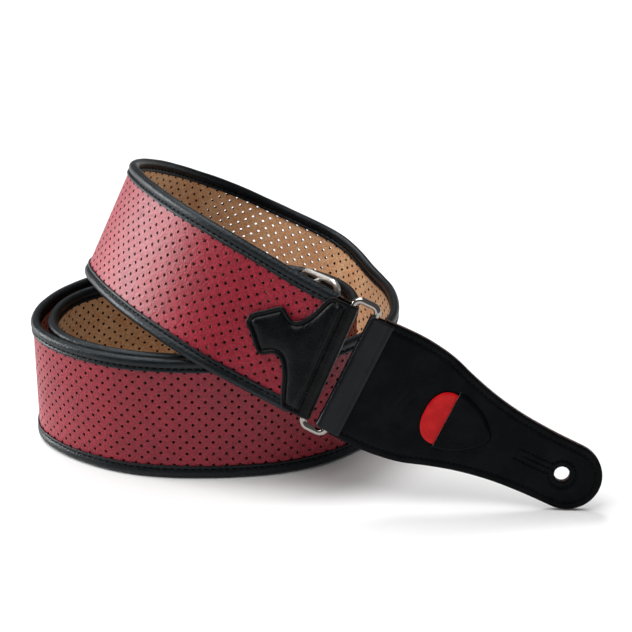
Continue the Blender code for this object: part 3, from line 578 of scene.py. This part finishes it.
def leather_piece(name, outline, top, bottom, place, body, material, replaced=(), slot="black_leather",
                  holes=(), spacing=1.4, rings=(0.18, 0.45, 0.9, 1.5, 2.1, 2.7, 3.4), edge=0.5,
                  edge_material=RAW, more=None):
    """A cut piece of leather. top and bottom give heights from (x, y, distance to the cut edge), and
    place puts (x, y, height) in the world."""
    outline = resampled(outline, edge)
    cuts = [outline]
    for hole in holes:
        hole = np.asarray(hole, float)
        cuts.append(hole if area_sign(hole) < 0 else hole[::-1])
    points, fixed = [], []
    for cut in cuts:
        base = len(points)
        points += cut.tolist()
        fixed += [(base + i, base + (i + 1) % len(cut)) for i in range(len(cut))]
    for reach in rings:
        for cut in cuts:
            if reach > 2.9 and cut is not outline:
                continue
            moved = cut + inward(cut) * reach
            moved = moved[::1 if reach < 1.0 else 2]
            keep = inside(moved, outline)
            for other in cuts:
                keep &= edge_distance(moved, other) > reach - 0.03
                if other is not outline:
                    keep &= ~inside(moved, other)
            points += moved[keep].tolist()
    low, high = outline.min(axis=0), outline.max(axis=0)
    grid = np.array([(x, y) for i, y in enumerate(np.arange(low[1], high[1], spacing * 0.866))
                     for x in np.arange(low[0] + (spacing / 2 if i % 2 else 0.0), high[0], spacing)])
    keep = inside(grid, outline)
    for cut in cuts:
        keep &= edge_distance(grid, cut) > (rings[-1] if cut is outline else min(rings[-1], 2.9)) + spacing * 0.4
        if cut is not outline:
            keep &= ~inside(grid, cut)
    points += grid[keep].tolist()
    if more is not None:
        extra_points = np.asarray(more, float)
        keep = inside(extra_points, outline) & (edge_distance(extra_points, outline) > 0.3)
        points += extra_points[keep].tolist()
    made = delaunay_2d_cdt([Vector(p) for p in points], fixed, [], 0, 1e-5)
    flat = np.array([(v.x, v.y) for v in made[0]])
    tris = np.array(made[2])
    centre = flat[tris].mean(axis=1)
    keep = inside(centre, outline)
    for cut in cuts[1:]:
        keep &= ~inside(centre, cut)
    tris = tris[keep]
    used = np.unique(tris)
    remap = np.full(len(flat), -1)
    remap[used] = np.arange(len(used))
    tris = remap[tris]
    flat = flat[used]
    first = flat[tris[:, 1]] - flat[tris[:, 0]]
    second = flat[tris[:, 2]] - flat[tris[:, 0]]
    wrong = first[:, 0] * second[:, 1] - first[:, 1] * second[:, 0] < 0
    tris[wrong] = tris[wrong][:, ::-1]
    depth = np.min([edge_distance(flat, cut) for cut in cuts], axis=0)
    depth[depth < 1e-4] = 0.0
    high_side = top(flat[:, 0], flat[:, 1], depth)
    low_side = bottom(flat[:, 0], flat[:, 1], depth)
    count = len(flat)
    faces = tris.tolist() + (tris[:, ::-1] + count).tolist()
    # The cut edge: border edges are those used by one triangle only.
    seen = dict.fromkeys((a, b) for t in tris.tolist() for a, b in zip(t, t[1:] + t[:1]))
    rim = [(a, b) for a, b in seen if (b, a) not in seen]
    ids = np.array(sorted({v for pair in rim for v in pair}))
    rank = {v: i for i, v in enumerate(ids.tolist())}
    spread = [place(flat[:, 0], flat[:, 1], high_side), place(flat[:, 0], flat[:, 1], low_side)]
    for share in EDGE_LEVELS:
        height = low_side[ids] + (high_side[ids] - low_side[ids]) * share
        spread.append(place(flat[ids, 0], flat[ids, 1], height))

    def down(v):
        return v, 2 * count + rank[v], 2 * count + len(ids) + rank[v], v + count

    first_edge = len(faces)
    for a, b in rim:
        near, far = down(a), down(b)
        faces += [(near[i], near[i + 1], far[i + 1], far[i]) for i in range(3)]
    extra = (edge_material, np.arange(first_edge, len(faces))) if edge_material else None
    add_piece(name, np.vstack(spread), faces, material, body, replaced, slot, sharp=50.0, extra=extra)


def level(height):
    """A flat surface of a leather piece, for its top or bottom."""
    return lambda x, y, d: np.full_like(x, height)


def rows(low, high, step, reach, across):
    """Extra surface points in rows: x from low to high, y from -reach to reach."""
    return [(x, y) for x in np.arange(low, high, step) for y in np.arange(-reach, reach + 0.1, across)]


def rectangle(length, half):
    return [(0.0, -half), (length, -half), (length, half), (0.0, half)]


def in_frame(matrix):
    return lambda x, y, z: through(matrix, np.column_stack([x, y, z]))


def row_along(outline, inset, pitch, skip=None):
    """Evenly spaced points and directions on a line inside a closed outline."""
    outline = resampled(outline, 0.4)
    line = outline + inward(outline) * inset
    line = line[edge_distance(line, outline) > inset - 0.06]
    if skip is not None:
        keep = ~skip(line[:, 0], line[:, 1])
        first = int(np.argmax(~keep)) if (~keep).any() else 0
        line = np.roll(line, -first, axis=0)
        keep = np.roll(keep, -first)
        line = line[keep]
    travelled = np.r_[0.0, np.cumsum(np.linalg.norm(np.diff(line, axis=0), axis=1))]
    at = np.arange(pitch / 2, travelled[-1], pitch)
    spot = np.column_stack([np.interp(at, travelled, line[:, k]) for k in range(2)])
    ahead = np.column_stack([np.interp(at + 0.3, travelled, line[:, k]) for k in range(2)])
    back = np.column_stack([np.interp(at - 0.3, travelled, line[:, k]) for k in range(2)])
    gap = np.linalg.norm(ahead - back, axis=1)
    keep = gap < 1.5
    return spot[keep], (ahead - back)[keep]


def stitch_row(name, outline, inset, pitch, length, radius, height, place, body, skip=None, sign=1.0):
    """Stitches along an outline's inset line, on a piece's top (or underneath with sign -1)."""
    spot, direction = row_along(outline, inset, pitch, skip)
    z = np.full(len(spot), float(height))
    centre = place(spot[:, 0], spot[:, 1], z)
    near = spot + unit(direction) * 0.2
    ahead = place(near[:, 0], near[:, 1], z)
    raised = place(spot[:, 0], spot[:, 1], z + 0.2)
    stitches(name, centre, ahead - centre, (raised - centre) * sign, length, radius, body)


def cut_edge(d, soft=0.3, drop=0.28):
    """How far a leather's surface falls at its cut edge."""
    return -drop * (1.0 - ease(d, 0.0, soft * 2)) ** 1.5


# ---- layers and bindings ----
perforated_sheet("red_perforated_leather", *RED_LAYER, 0.0, strap.length, 0.10, RED, ("red_face_leather",),
                 "red_leather")
perforated_sheet("tan_suede_sheet", *TAN_LAYER, 0.0, strap.length, 0.08, TAN, ("suede_lining", "padding_layer"),
                 "tan_suede")
edge_binding("upper", 1)
edge_binding("lower", -1)


# ---- patches round the rings ----
def fold_place(over, frame_at):
    """Maps (u, y, height) of a leaf that comes over the strap, round a wire, and back underneath."""
    turn = math.pi * (TUNNEL_INNER + 0.5)

    def place(u, y, z):
        u, y, z = (np.asarray(v, float) for v in (u, y, z))
        back = u > RING_FROM_STRAP + turn
        x = np.where(back, 2 * RING_FROM_STRAP + turn - u, np.minimum(u, RING_FROM_STRAP))
        base = PATCH_INNER + (TUNNEL_INNER - PATCH_INNER) * ease(x, 0.0, RING_FROM_STRAP - 0.5)
        sign = np.where(back, -1.0, 1.0)
        angle = np.clip((u - RING_FROM_STRAP) / turn, 0.0, 1.0) * math.pi
        round_wire = (angle > 0) & (angle < math.pi)
        lx = np.where(round_wire, RING_FROM_STRAP + np.sin(angle) * (TUNNEL_INNER + z), x)
        lz = np.where(round_wire, np.cos(angle) * (TUNNEL_INNER + z), sign * (base + z))
        flat = through(frame_at, np.column_stack([lx, y, lz]))
        on_strap = lx < 0
        flat[on_strap] = over(lx[on_strap], y[on_strap], lz[on_strap])
        return flat
    return place, 2 * RING_FROM_STRAP + turn


front_place, front_turn = fold_place(lambda x, y, z: strap.points(-x, z, y), front)
rear_place, rear_turn = fold_place(lambda x, y, z: strap.points(strap.length + x, z, -y), rear)

# Stations of the front patch's T shape: distance past the strap's end, low and high edge.
PATCH_STATIONS = [(-34.9, -0.8, 2.2), (-34.5, -1.5, 3.1), (-33.4, -2.4, 4.7), (-31.2, -4.1, 6.6),
                  (-28.6, -6.6, 8.9), (-26.2, -9.0, 11.0), (-24.3, -10.5, 12.7), (-22.9, -10.95, 13.4),
                  (-22.0, -10.9, 13.3), (-20.0, -9.4, 12.1), (-17.4, -7.6, 10.4), (-14.6, -7.7, 10.0),
                  (-12.2, -9.9, 11.8), (-9.4, -15.2, 16.0), (-7.2, -22.0, 21.2), (-5.6, -26.2, 25.6),
                  (-4.3, -27.9, 27.5), (-3.0, -28.2, 28.2)]


def chaikin(points, rounds=2):
    """Rounds the corners of an open line, its ends kept."""
    points = np.asarray(points, float)
    for _ in range(rounds):
        a, b = points[:-1], points[1:]
        cut = np.empty((2 * len(a), 2))
        cut[0::2] = a * 0.75 + b * 0.25
        cut[1::2] = a * 0.25 + b * 0.75
        points = np.vstack([points[:1], cut, points[-1:]])
    return points


low_line = chaikin([(x, a) for x, a, _ in reversed(PATCH_STATIONS)])
high_line = chaikin([(x, b) for x, _, b in PATCH_STATIONS])
patch_end = front_turn + 14.0
patch_outline = np.vstack([high_line, [(patch_end, TUNNEL_HALF), (patch_end, -TUNNEL_HALF)], low_line])


def patch_top(x, y, d):
    within = ease(d, 2.2, 3.2)
    rise = 0.95 * (1.0 - np.exp(-np.maximum(d - 2.5, 0.0) / 1.4)) * (1.0 - ease(x, 1.9, 3.0))
    groove = -0.60 * bump(d, 2.15, 0.42) * (1.0 - ease(x, 2.6, 3.4))
    rim = 0.12 * bump(d, 1.0, 0.7) * (1.0 - ease(x, 2.4, 3.4))
    ridge = 0.50 * bump(x, 1.3, 0.8) * within
    crease = -0.42 * bump(x, 3.35, 0.42) * ease(d, 1.7, 2.3)
    return 1.0 + rise + groove + rim + ridge + crease + cut_edge(d)


leather_piece("front_patch_leather", patch_outline, patch_top, level(0.0), front_place,
              "coiled_strap", PATCH, ("front_patch", "front_patch_padding"), spacing=1.0,
              more=rows(-1.2, 6.0, 0.45, 27.5, 0.9))
stitch_row("front_patch_stitches", patch_outline, 2.15, 2.5, 1.8, 0.27, 0.55, front_place, "coiled_strap",
           skip=lambda x, y: x > 3.2)

rear_outline = [(-18.0, TUNNEL_HALF), (rear_turn + 18.0, TUNNEL_HALF), (rear_turn + 18.0, -TUNNEL_HALF),
                (-18.0, -TUNNEL_HALF)]


def rear_patch_top(x, y, d):
    return 1.0 - 0.3 * bump(d, 2.4, 0.5) + cut_edge(d)


leather_piece("rear_patch_leather", rear_outline, rear_patch_top, level(0.0), rear_place,
              "coiled_strap", PATCH, ("rear_patch",), spacing=1.6)
stitch_row("rear_patch_stitches", rear_outline, 2.4, 2.6, 2.0, 0.33, 0.95, rear_place, "coiled_strap",
           skip=lambda x, y: (x > 2.0) & (x < rear_turn - 2.0))


# ---- rings and slider ----
def rounded_loop(along, across, corner, steps=9, straight=14):
    """Rectangle with round corners, centred on the origin."""
    points = []
    for sx, sy, first in ((1, 1, 0), (-1, 1, 90), (-1, -1, 180), (1, -1, 270)):
        cx, cy = sx * (along / 2 - corner), sy * (across / 2 - corner)
        for a in np.radians(np.linspace(first, first + 90, steps)):
            points.append((cx + corner * math.cos(a), cy + corner * math.sin(a)))
    made = []
    for a, b in zip(points, points[1:] + points[:1]):
        gap = math.dist(a, b)
        count = straight if gap > 6 else 1
        made += [(a[0] + (b[0] - a[0]) * i / count, a[1] + (b[1] - a[1]) * i / count) for i in range(count)]
    return np.array(made)


def wire(path, radius, loop=True, corners=20):
    """Round wire along a path of points."""
    path = np.asarray(path, float)
    tangent = unit(np.roll(path, -1, axis=0) - np.roll(path, 1, axis=0) if loop else np.gradient(path, axis=0))
    flat_normal = np.cross(path[1] - path[0], path[len(path) // 2] - path[0]) if loop else np.array([1.0, 0, 0])
    flat_normal /= np.linalg.norm(flat_normal)
    side = unit(np.cross(tangent, flat_normal))
    up = np.cross(side, tangent)
    around = np.radians(np.arange(corners) * 360.0 / corners)
    sections = (path[:, None, :] + radius * (np.cos(around)[None, :, None] * side[:, None, :]
                                             + np.sin(around)[None, :, None] * up[:, None, :]))
    return closed_sweep(sections, loop)


def ring_piece(name, matrix):
    loop = rounded_loop(RING_ALONG, RING_ACROSS, 3.2)
    path = np.column_stack([loop[:, 0] + RING_ALONG / 2, loop[:, 1], np.zeros(len(loop))])
    points, faces = wire(path, WIRE_RADIUS)
    add_piece(name + "_wire", through(matrix, points), faces, CHROME, name, (name,), "chrome", sharp=80.0)


ring_piece("front_ring", ring_frame)
ring_piece("rear_ring", rear_ring_frame)

slider_length = SLIDER_LENGTH - 2 * WIRE_RADIUS
slider_across = SLIDER_ACROSS - 2 * WIRE_RADIUS
slider_start = SLIDER_START + WIRE_RADIUS
slider_middle = slider_start + slider_length / 2
loop = rounded_loop(slider_length, slider_across, 4.0)
path = np.column_stack([loop[:, 0] + slider_middle, loop[:, 1], np.full(len(loop), SLIDER_RISE)])
points, faces = wire(path, WIRE_RADIUS)
side = slider_across / 2
rise = [(slider_middle, -side + t, SLIDER_RISE - 0.3 * t) for t in np.linspace(0.0, 1.2, 4)]
rise += [(slider_middle, -side + 1.9 - 0.7 * math.exp(-2.2 * t), SLIDER_RISE - 0.36 - t)
         for t in np.linspace(0.25, SLIDER_RISE - 0.36 - CENTRE_BAR_DROP - 1.8, 7)]
turn = [(slider_middle, -side + 3.5 - 1.6 * math.cos(a), CENTRE_BAR_DROP + 1.6 - 1.6 * math.sin(a))
        for a in np.radians(np.linspace(12, 78, 6))]
flat = [(slider_middle, y, CENTRE_BAR_DROP) for y in np.linspace(-side + 3.5, 0.0, 10)]
half_route = rise + turn + flat
route = np.array(half_route + [(x, -y, z) for x, y, z in reversed(half_route[:-1])])
bar_points, bar_faces = wire(route, CENTRE_BAR_RADIUS, loop=False, corners=16)
base = len(points)
both = np.vstack([points, bar_points])
add_piece("slider_frame", through(tail_frame, both), faces + [tuple(v + base for v in f) for f in bar_faces],
          NICKEL, "slider", ("slider",), "chrome", sharp=80.0)


# ---- front tab ----
def tab_half_width(x):
    return eased_through(x, (0.0, 27.0, 37.5, 49.0, 60.0, 75.0, 92.0, 108.0),
                         (29.3, 29.0, 27.2, 23.4, 20.2, 17.3, 15.9, TAB_TIP_RADIUS))


def circle(cx, cy, radius, count=36):
    a = np.radians(np.arange(count) * 360.0 / count)
    return np.column_stack([cx + radius * np.cos(a), cy + radius * np.sin(a)])


def tapered_outline(start, tip, radius, half_width, count):
    """A tab's outline: sides that narrow to a round end of a radius about x = tip."""
    along = np.linspace(start, tip, count)
    side = np.column_stack([along, half_width(along)])
    side[-1, 1] = radius
    angles = np.radians(np.linspace(88, -88, 45))
    end = np.column_stack([tip + radius * np.cos(angles), radius * np.sin(angles)])
    return np.vstack([side, end, (side * (1, -1))[::-1]])


tab_outline = tapered_outline(TAB_START, TAB_END - TAB_TIP_RADIUS, TAB_TIP_RADIUS, tab_half_width, 90)
tab_hole = circle(BUTTON_HOLE, 0.0, BUTTON_HOLE_RADIUS)
tab_place = in_frame(tab_frame)


def ornament(x, y):
    """Three shallow pressed waves across the tab's wide end."""
    total = np.zeros_like(x)
    for middle, reach in ((22.0, 13.0), (25.5, 17.0), (29.0, 13.0)):
        line = middle + 1.1 * np.sin(y / 3.4)
        total = np.maximum(total, bump(x, line, 0.45) * (1.0 - ease(np.abs(y), reach - 1.0, reach)))
    return total


def keyhole_distance(x, y):
    """Distance outside the keyhole shape: a circle round the button hole joined to a slot."""
    rings = np.hypot(x - BUTTON_HOLE, y) - KEYHOLE_RADIUS
    bx = np.maximum(SLOT_START - x, x - BUTTON_HOLE)
    by = np.abs(y) - KEYHOLE_HALF
    box = np.hypot(np.maximum(bx, 0.0), np.maximum(by, 0.0)) + np.minimum(np.maximum(bx, by), 0.0)
    return np.minimum(rings, box)


def tab_top(x, y, d):
    stitch_line = -0.26 * bump(d, 3.2, 0.5)
    keyhole = keyhole_distance(x, y)
    pressed = -0.30 * bump(keyhole, 0.0, 0.45) - 0.05 * (1.0 - ease(keyhole, -0.8, -0.2))
    slit = -0.30 * bump(y, 0.0, 0.25) * ease(x, SLOT_START + 3.0, SLOT_START + 3.6) * (
        1.0 - ease(x, BUTTON_HOLE - 3.6, BUTTON_HOLE - 3.0))
    return 1.6 + stitch_line + pressed + slit - 0.20 * ornament(x, y) + cut_edge(d, 0.35, 0.35)


def keyhole_outline():
    half_angle = math.degrees(math.asin(KEYHOLE_HALF / KEYHOLE_RADIUS))
    a = np.radians(np.linspace(180 - half_angle, half_angle - 180, 40))
    ring = np.column_stack([BUTTON_HOLE + KEYHOLE_RADIUS * np.cos(a), KEYHOLE_RADIUS * np.sin(a)])
    return np.vstack([[(SLOT_START, KEYHOLE_HALF)], ring, [(SLOT_START, -KEYHOLE_HALF)]])


TAB_RINGS = (0.15, 0.35, 0.7, 1.6, 2.4, 2.8, 3.2, 3.6, 4.0)
fine = rows(18.0, 33.0, 0.5, 18.0, 0.5) + rows(SLOT_START - 1.2, BUTTON_HOLE - 3.9, 0.5, 3.6, 0.3)
fine += [tuple(p) for r in (4.8, 5.3, 5.7, 6.0, 6.2, 6.4, 6.8, 7.3) for p in circle(BUTTON_HOLE, 0.0, r, 64)]
leather_piece("front_tab_face", tab_outline, tab_top, level(0.15), tab_place,
              "front_tab", TAB, ("front_tab_leather",), holes=[tab_hole], spacing=1.5, more=fine,
              rings=TAB_RINGS)
leather_piece("front_tab_back", tab_outline, level(0.1),
              lambda x, y, d: -1.6 + 0.18 * bump(d, 3.2, 0.45) - cut_edge(d, 0.35, 0.35), tab_place, "front_tab",
              TAB, ("front_tab_lining",), holes=[tab_hole], spacing=2.0,
              rings=TAB_RINGS)
stitch_row("front_tab_stitches", tab_outline, 3.2, 2.5, 1.9, 0.26, 1.50, tab_place, "front_tab",
           skip=lambda x, y: x < 7.0)
stitch_row("keyhole_stitches", keyhole_outline(), 0.0, 2.1, 1.5, 0.24, 1.42, tab_place, "front_tab")
stitch_row("front_tab_back_stitches", tab_outline, 3.2, 2.5, 1.9, 0.26, -1.50, tab_place, "front_tab",
           skip=lambda x, y: x < 14.5, sign=-1.0)

# Fold strip: from the tab's face round the ring's wire and onto the tab's back.
STRIP_INNER = 1.9
STRIP_FRONT = 7.6
strip_slack = TUNNEL_HALF * math.sin(TAB_TURN)
strip_turn = math.pi * (STRIP_INNER + 0.4)
strip_arc = STRIP_FRONT + strip_slack
strip_back = 14.0


def strip_place(u, y, z):
    angle = np.clip((u - strip_arc) / strip_turn, 0.0, 1.0) * math.pi
    back = np.maximum(u - strip_arc - strip_turn, 0.0)
    x = np.where(u < strip_arc, STRIP_FRONT - u, -strip_slack + back) - np.sin(angle) * (STRIP_INNER + z)
    height = np.cos(angle) * (STRIP_INNER + z)
    return through(tab_frame, np.column_stack([x, y, height]))


strip_end = strip_arc + strip_turn + strip_back + strip_slack


def strip_top(u, y, d):
    groove = -0.18 * bump(u, 2.4, 0.5)
    return 0.8 + groove + 0.04 * np.sin(y / 5.0) * ease(u, 3.0, 6.0) + cut_edge(d, 0.3, 0.3)


leather_piece("front_tab_fold", rectangle(strip_end, TUNNEL_HALF), strip_top, level(0.0), strip_place,
              "front_tab", SMOOTH, ("front_tab_fold_strip",), spacing=1.6,
              more=rows(0.8, strip_end, 0.45, 27.6, 1.2))


# ---- pick and its pocket ----
def pick_shape():
    """Upper half of a pick's outline: a broad blunt end, full sides and a rounded point."""
    shares = ((0.0, 0.0), (0.0, 0.22), (0.02, 0.47), (0.06, 0.68), (0.12, 0.86), (0.20, 0.97), (0.29, 1.0),
              (0.40, 0.985), (0.52, 0.92), (0.64, 0.81), (0.75, 0.66), (0.85, 0.48), (0.93, 0.30), (0.98, 0.16),
              (1.0, 0.05), (1.0, 0.0))
    return [(PICK_START + t * PICK_LENGTH, w * PICK_WIDTH / 2) for t, w in shares]


def both_sides(line):
    """A closed outline from its upper half, whose ends lie on the middle line."""
    line = chaikin(line, 2)
    return np.vstack([line, (line * (1, -1))[::-1][1:-1]])


pick_line = both_sides(pick_shape())
leather_piece("pick_plate", pick_line, lambda x, y, d: 2.8 + cut_edge(d, 0.35, 0.3),
              lambda x, y, d: 2.0 - cut_edge(d, 0.35, 0.3), tab_place, "pick", PICK, ("guitar_pick",),
              slot="pick_plastic", spacing=1.6, rings=(0.12, 0.3, 0.6, 1.2), edge_material=None)

grown = []
for before, here, after in zip(np.roll(pick_line, 1, axis=0), pick_line, np.roll(pick_line, -1, axis=0)):
    ahead = (after - before) / np.linalg.norm(after - before)
    out = np.array([ahead[1], -ahead[0]])
    if out @ (here - (PICK_START + PICK_LENGTH / 2, 0.0)) < 0:
        out = -out
    grown.append(here + out * 1.9)
grown = np.array([p for p in grown if p[0] > POCKET_MOUTH + 0.3])
grown = grown[np.argsort(np.arctan2(grown[:, 1], grown[:, 0] - POCKET_MOUTH))]
pocket_line = np.vstack([[(POCKET_MOUTH, grown[0, 1])], grown, [(POCKET_MOUTH, grown[-1, 1])]])


def pocket_side(x, y):
    """Distance to the pocket's curved side, its straight mouth left out."""
    points = np.column_stack([x, y])
    ahead = np.vstack([grown, [(POCKET_MOUTH - 30.0, grown[-1, 1]), (POCKET_MOUTH - 30.0, grown[0, 1])]])
    return edge_distance(points, ahead)


def pocket_top(x, y, d):
    side = pocket_side(x, y)
    lip = 0.15 * bump(x, POCKET_MOUTH + 0.7, 0.5)
    seam = -0.10 * bump(side, 2.9, 0.35) * ease(x, POCKET_MOUTH + 2.0, POCKET_MOUTH + 4.0)
    return 1.85 + 1.85 * np.sqrt(ease(side, 0.0, 2.1)) + lip + seam - 0.12 * (1.0 - ease(d, 0.0, 0.5))


def pocket_under(x, y, d):
    return 1.66 + 1.45 * ease(pocket_side(x, y), 0.9, 2.0)


# The pocket's cut edge gets the blue-grey painted highlight.
leather_piece("pick_pocket_leather", pocket_line, pocket_top, pocket_under, tab_place, "front_tab", TAB,
              ("pick_pocket",), spacing=0.8, edge=0.4, edge_material=MOUTH_HIGHLIGHT, rings=(0.15, 0.4, 0.8, 1.3, 1.8, 2.3))


# ---- tail, slider loop and rear tab ----
tail_low = TAIL_LAYER - TAIL_THICKNESS / 2
tail_return = SLIDER_START + 4.5
tail_turn = math.pi * (tail_low + TAIL_THICKNESS / 2)
tail_total = tail_return + tail_turn + TAIL_STRAIGHT + TAIL_END - 8.0


def tail_place(u, y, z):
    """The return layer, the fold round the rear ring, the straight stretch, then the bend."""
    u, y, z = (np.asarray(v, float) for v in (u, y, z))
    angle = np.clip((u - tail_return) / tail_turn, 0.0, 1.0) * math.pi
    x = np.where(u < tail_return, tail_return - u, np.maximum(u - tail_return - tail_turn, 0.0))
    lx = x - np.sin(angle) * (tail_low + z)
    lz = -np.cos(angle) * (tail_low + z)
    flat = through(tail_frame, np.column_stack([lx, y, lz]))
    on = lx > TAIL_STRAIGHT
    flat[on] = bend.points(8.0 + lx[on] - TAIL_STRAIGHT, z[on] - TAIL_THICKNESS / 2, -y[on])
    return flat


tail_outline = rectangle(tail_total, TAIL_HALF)
leather_piece("tail_leather", tail_outline, lambda x, y, d: 1.6 - 0.14 * bump(d, 2.6, 0.4) + cut_edge(d),
              lambda x, y, d: 0.14 * bump(d, 2.6, 0.4) - cut_edge(d), tail_place, "tail", TAB, ("tail_strap",),
              spacing=2.0,
              more=rows(tail_return - 1.0, tail_return + tail_turn + 1.0, 0.6, 27.0, 2.0))
for look, z, sign in (("outer", 1.5, 1.0), ("inner", 0.1, -1.0)):
    stitch_row(f"tail_{look}_stitches", tail_outline, 2.6, 2.8, 2.1, 0.28, z, tail_place, "tail", sign=sign,
               skip=lambda x, y: x < 1.5)

loop_bar = SLIDER_START + SLIDER_LENGTH / 2
loop_inner = CENTRE_BAR_RADIUS + 0.3
loop_turn = math.pi * (loop_inner + 0.4)


def loop_place(u, y, z):
    """Short leather loop round the slider's centre bar."""
    angle = np.clip((u - 6.0) / loop_turn, 0.0, 1.0) * math.pi
    x = loop_bar - np.maximum(6.0 - u, 0.0) - np.maximum(u - 6.0 - loop_turn, 0.0) + np.sin(angle) * (loop_inner + z)
    height = CENTRE_BAR_DROP + np.cos(angle) * (loop_inner + z)
    return through(tail_frame, np.column_stack([x, y, height]))


leather_piece("slider_loop_leather", rectangle(12.0 + loop_turn, TAIL_HALF), lambda x, y, d: 0.8 + cut_edge(d),
              level(0.0), loop_place, "slider", TAB, ("slider_bar_loop",), spacing=1.8,
              more=rows(5.0, 7.0 + loop_turn, 0.45, 27.0, 1.8))


def rear_half_width(s):
    return eased_through(s, (0.0, 10.0, 20.0, 50.0, 75.0, 93.0), (27.0, 27.0, 27.0, 19.0, 15.4, REAR_TAB_TIP))


rear_tip = REAR_TAB_LENGTH - REAR_TAB_TIP
rear_tab_outline = tapered_outline(0.0, rear_tip, REAR_TAB_TIP, rear_half_width, 70)
rear_hole = circle(rear_tip, 0.0, BUTTON_HOLE_RADIUS)


def bend_place(x, y, z):
    return bend.points(REAR_TAB_START + x, z, y)


leather_piece("rear_tab_face", rear_tab_outline,
              lambda x, y, d: 2.1 - 0.18 * bump(d, 3.2, 0.45) - 0.2 * bump(np.hypot(x - rear_tip, y), 5.9, 0.35)
              + cut_edge(d), level(1.1), bend_place, "tail", TAB, ("rear_tab_leather",),
              holes=[rear_hole], spacing=1.8)
leather_piece("rear_tab_back", rear_tab_outline, level(-1.1),
              lambda x, y, d: -2.1 + 0.18 * bump(d, 3.2, 0.45) - cut_edge(d), bend_place, "tail", TAB,
              ("rear_tab_lining",), holes=[rear_hole], spacing=1.8)
inner_tab = both_sides([(TAIL_END - REAR_TAB_START + 1.0, 0.0), (TAIL_END - REAR_TAB_START + 1.0, 18.0)]
                       + [(x, rear_half_width(x) - 1.6) for x in np.linspace(37.0, rear_tip, 14)]
                       + [(rear_tip + 8.0, 10.5), (rear_tip + 12.5, 5.0), (rear_tip + 13.4, 0.0)])
leather_piece("rear_tab_core", inner_tab, level(0.95), level(-0.95), bend_place,
              "tail", WEB, ("rear_tab_reinforcement",), slot="padding", holes=[rear_hole], spacing=2.4,
              rings=(0.4, 1.2), edge_material=None)
for look, z, sign in (("outer", 2.0, 1.0), ("inner", -2.0, -1.0)):
    stitch_row(f"rear_tab_{look}_stitches", rear_tab_outline, 3.2, 2.5, 1.9, 0.27, z, bend_place, "tail", sign=sign)


# ---- stage and light ----
FLOOR_HALF = 6.0              # metres, as is the floor's level just under the strap
FLOOR_LEVEL = -0.0003


def stage_plane():
    mesh = bpy.data.meshes.new("floor")
    corners = [(x * FLOOR_HALF, y * FLOOR_HALF, FLOOR_LEVEL) for x, y in ((-1, -1), (1, -1), (1, 1), (-1, 1))]
    mesh.from_pydata(corners, [], [(0, 1, 2, 3)])
    floor = bpy.data.objects.new("floor", mesh)
    bpy.context.scene.collection.objects.link(floor)
    material = new_material("floor_white", (0.89, 0.89, 0.89), 0.65, Specular_IOR_Level=0.2)
    mesh.materials.append(material)


def soft_sun(name, toward, strength, angle):
    """Soft light from a direction; a wide angle makes it as soft as a large panel."""
    data = bpy.data.lights.new(name, "SUN")
    data.energy = strength
    data.angle = math.radians(angle)
    light = bpy.data.objects.new(name, data)
    light.rotation_euler = Vector(toward).to_track_quat("Z", "Y").to_euler()
    bpy.context.scene.collection.objects.link(light)


stage_plane()
world = bpy.context.scene.world or bpy.data.worlds.new("world")
bpy.context.scene.world = world
world.use_nodes = True
background = world.node_tree.nodes.get("Background") or world.node_tree.nodes.new("ShaderNodeBackground")
background.inputs["Color"].default_value = (1.0, 1.0, 1.0, 1.0)
background.inputs["Strength"].default_value = 0.17
soft_sun("key", (-0.36, -0.06, 0.93), 2.5, 50.0)
soft_sun("left", (-0.94, 0.26, 0.22), 3.9, 25.0)
soft_sun("back", (-0.12, 0.50, 0.86), 1.2, 20.0)
bpy.context.scene.view_settings.view_transform = "Standard"
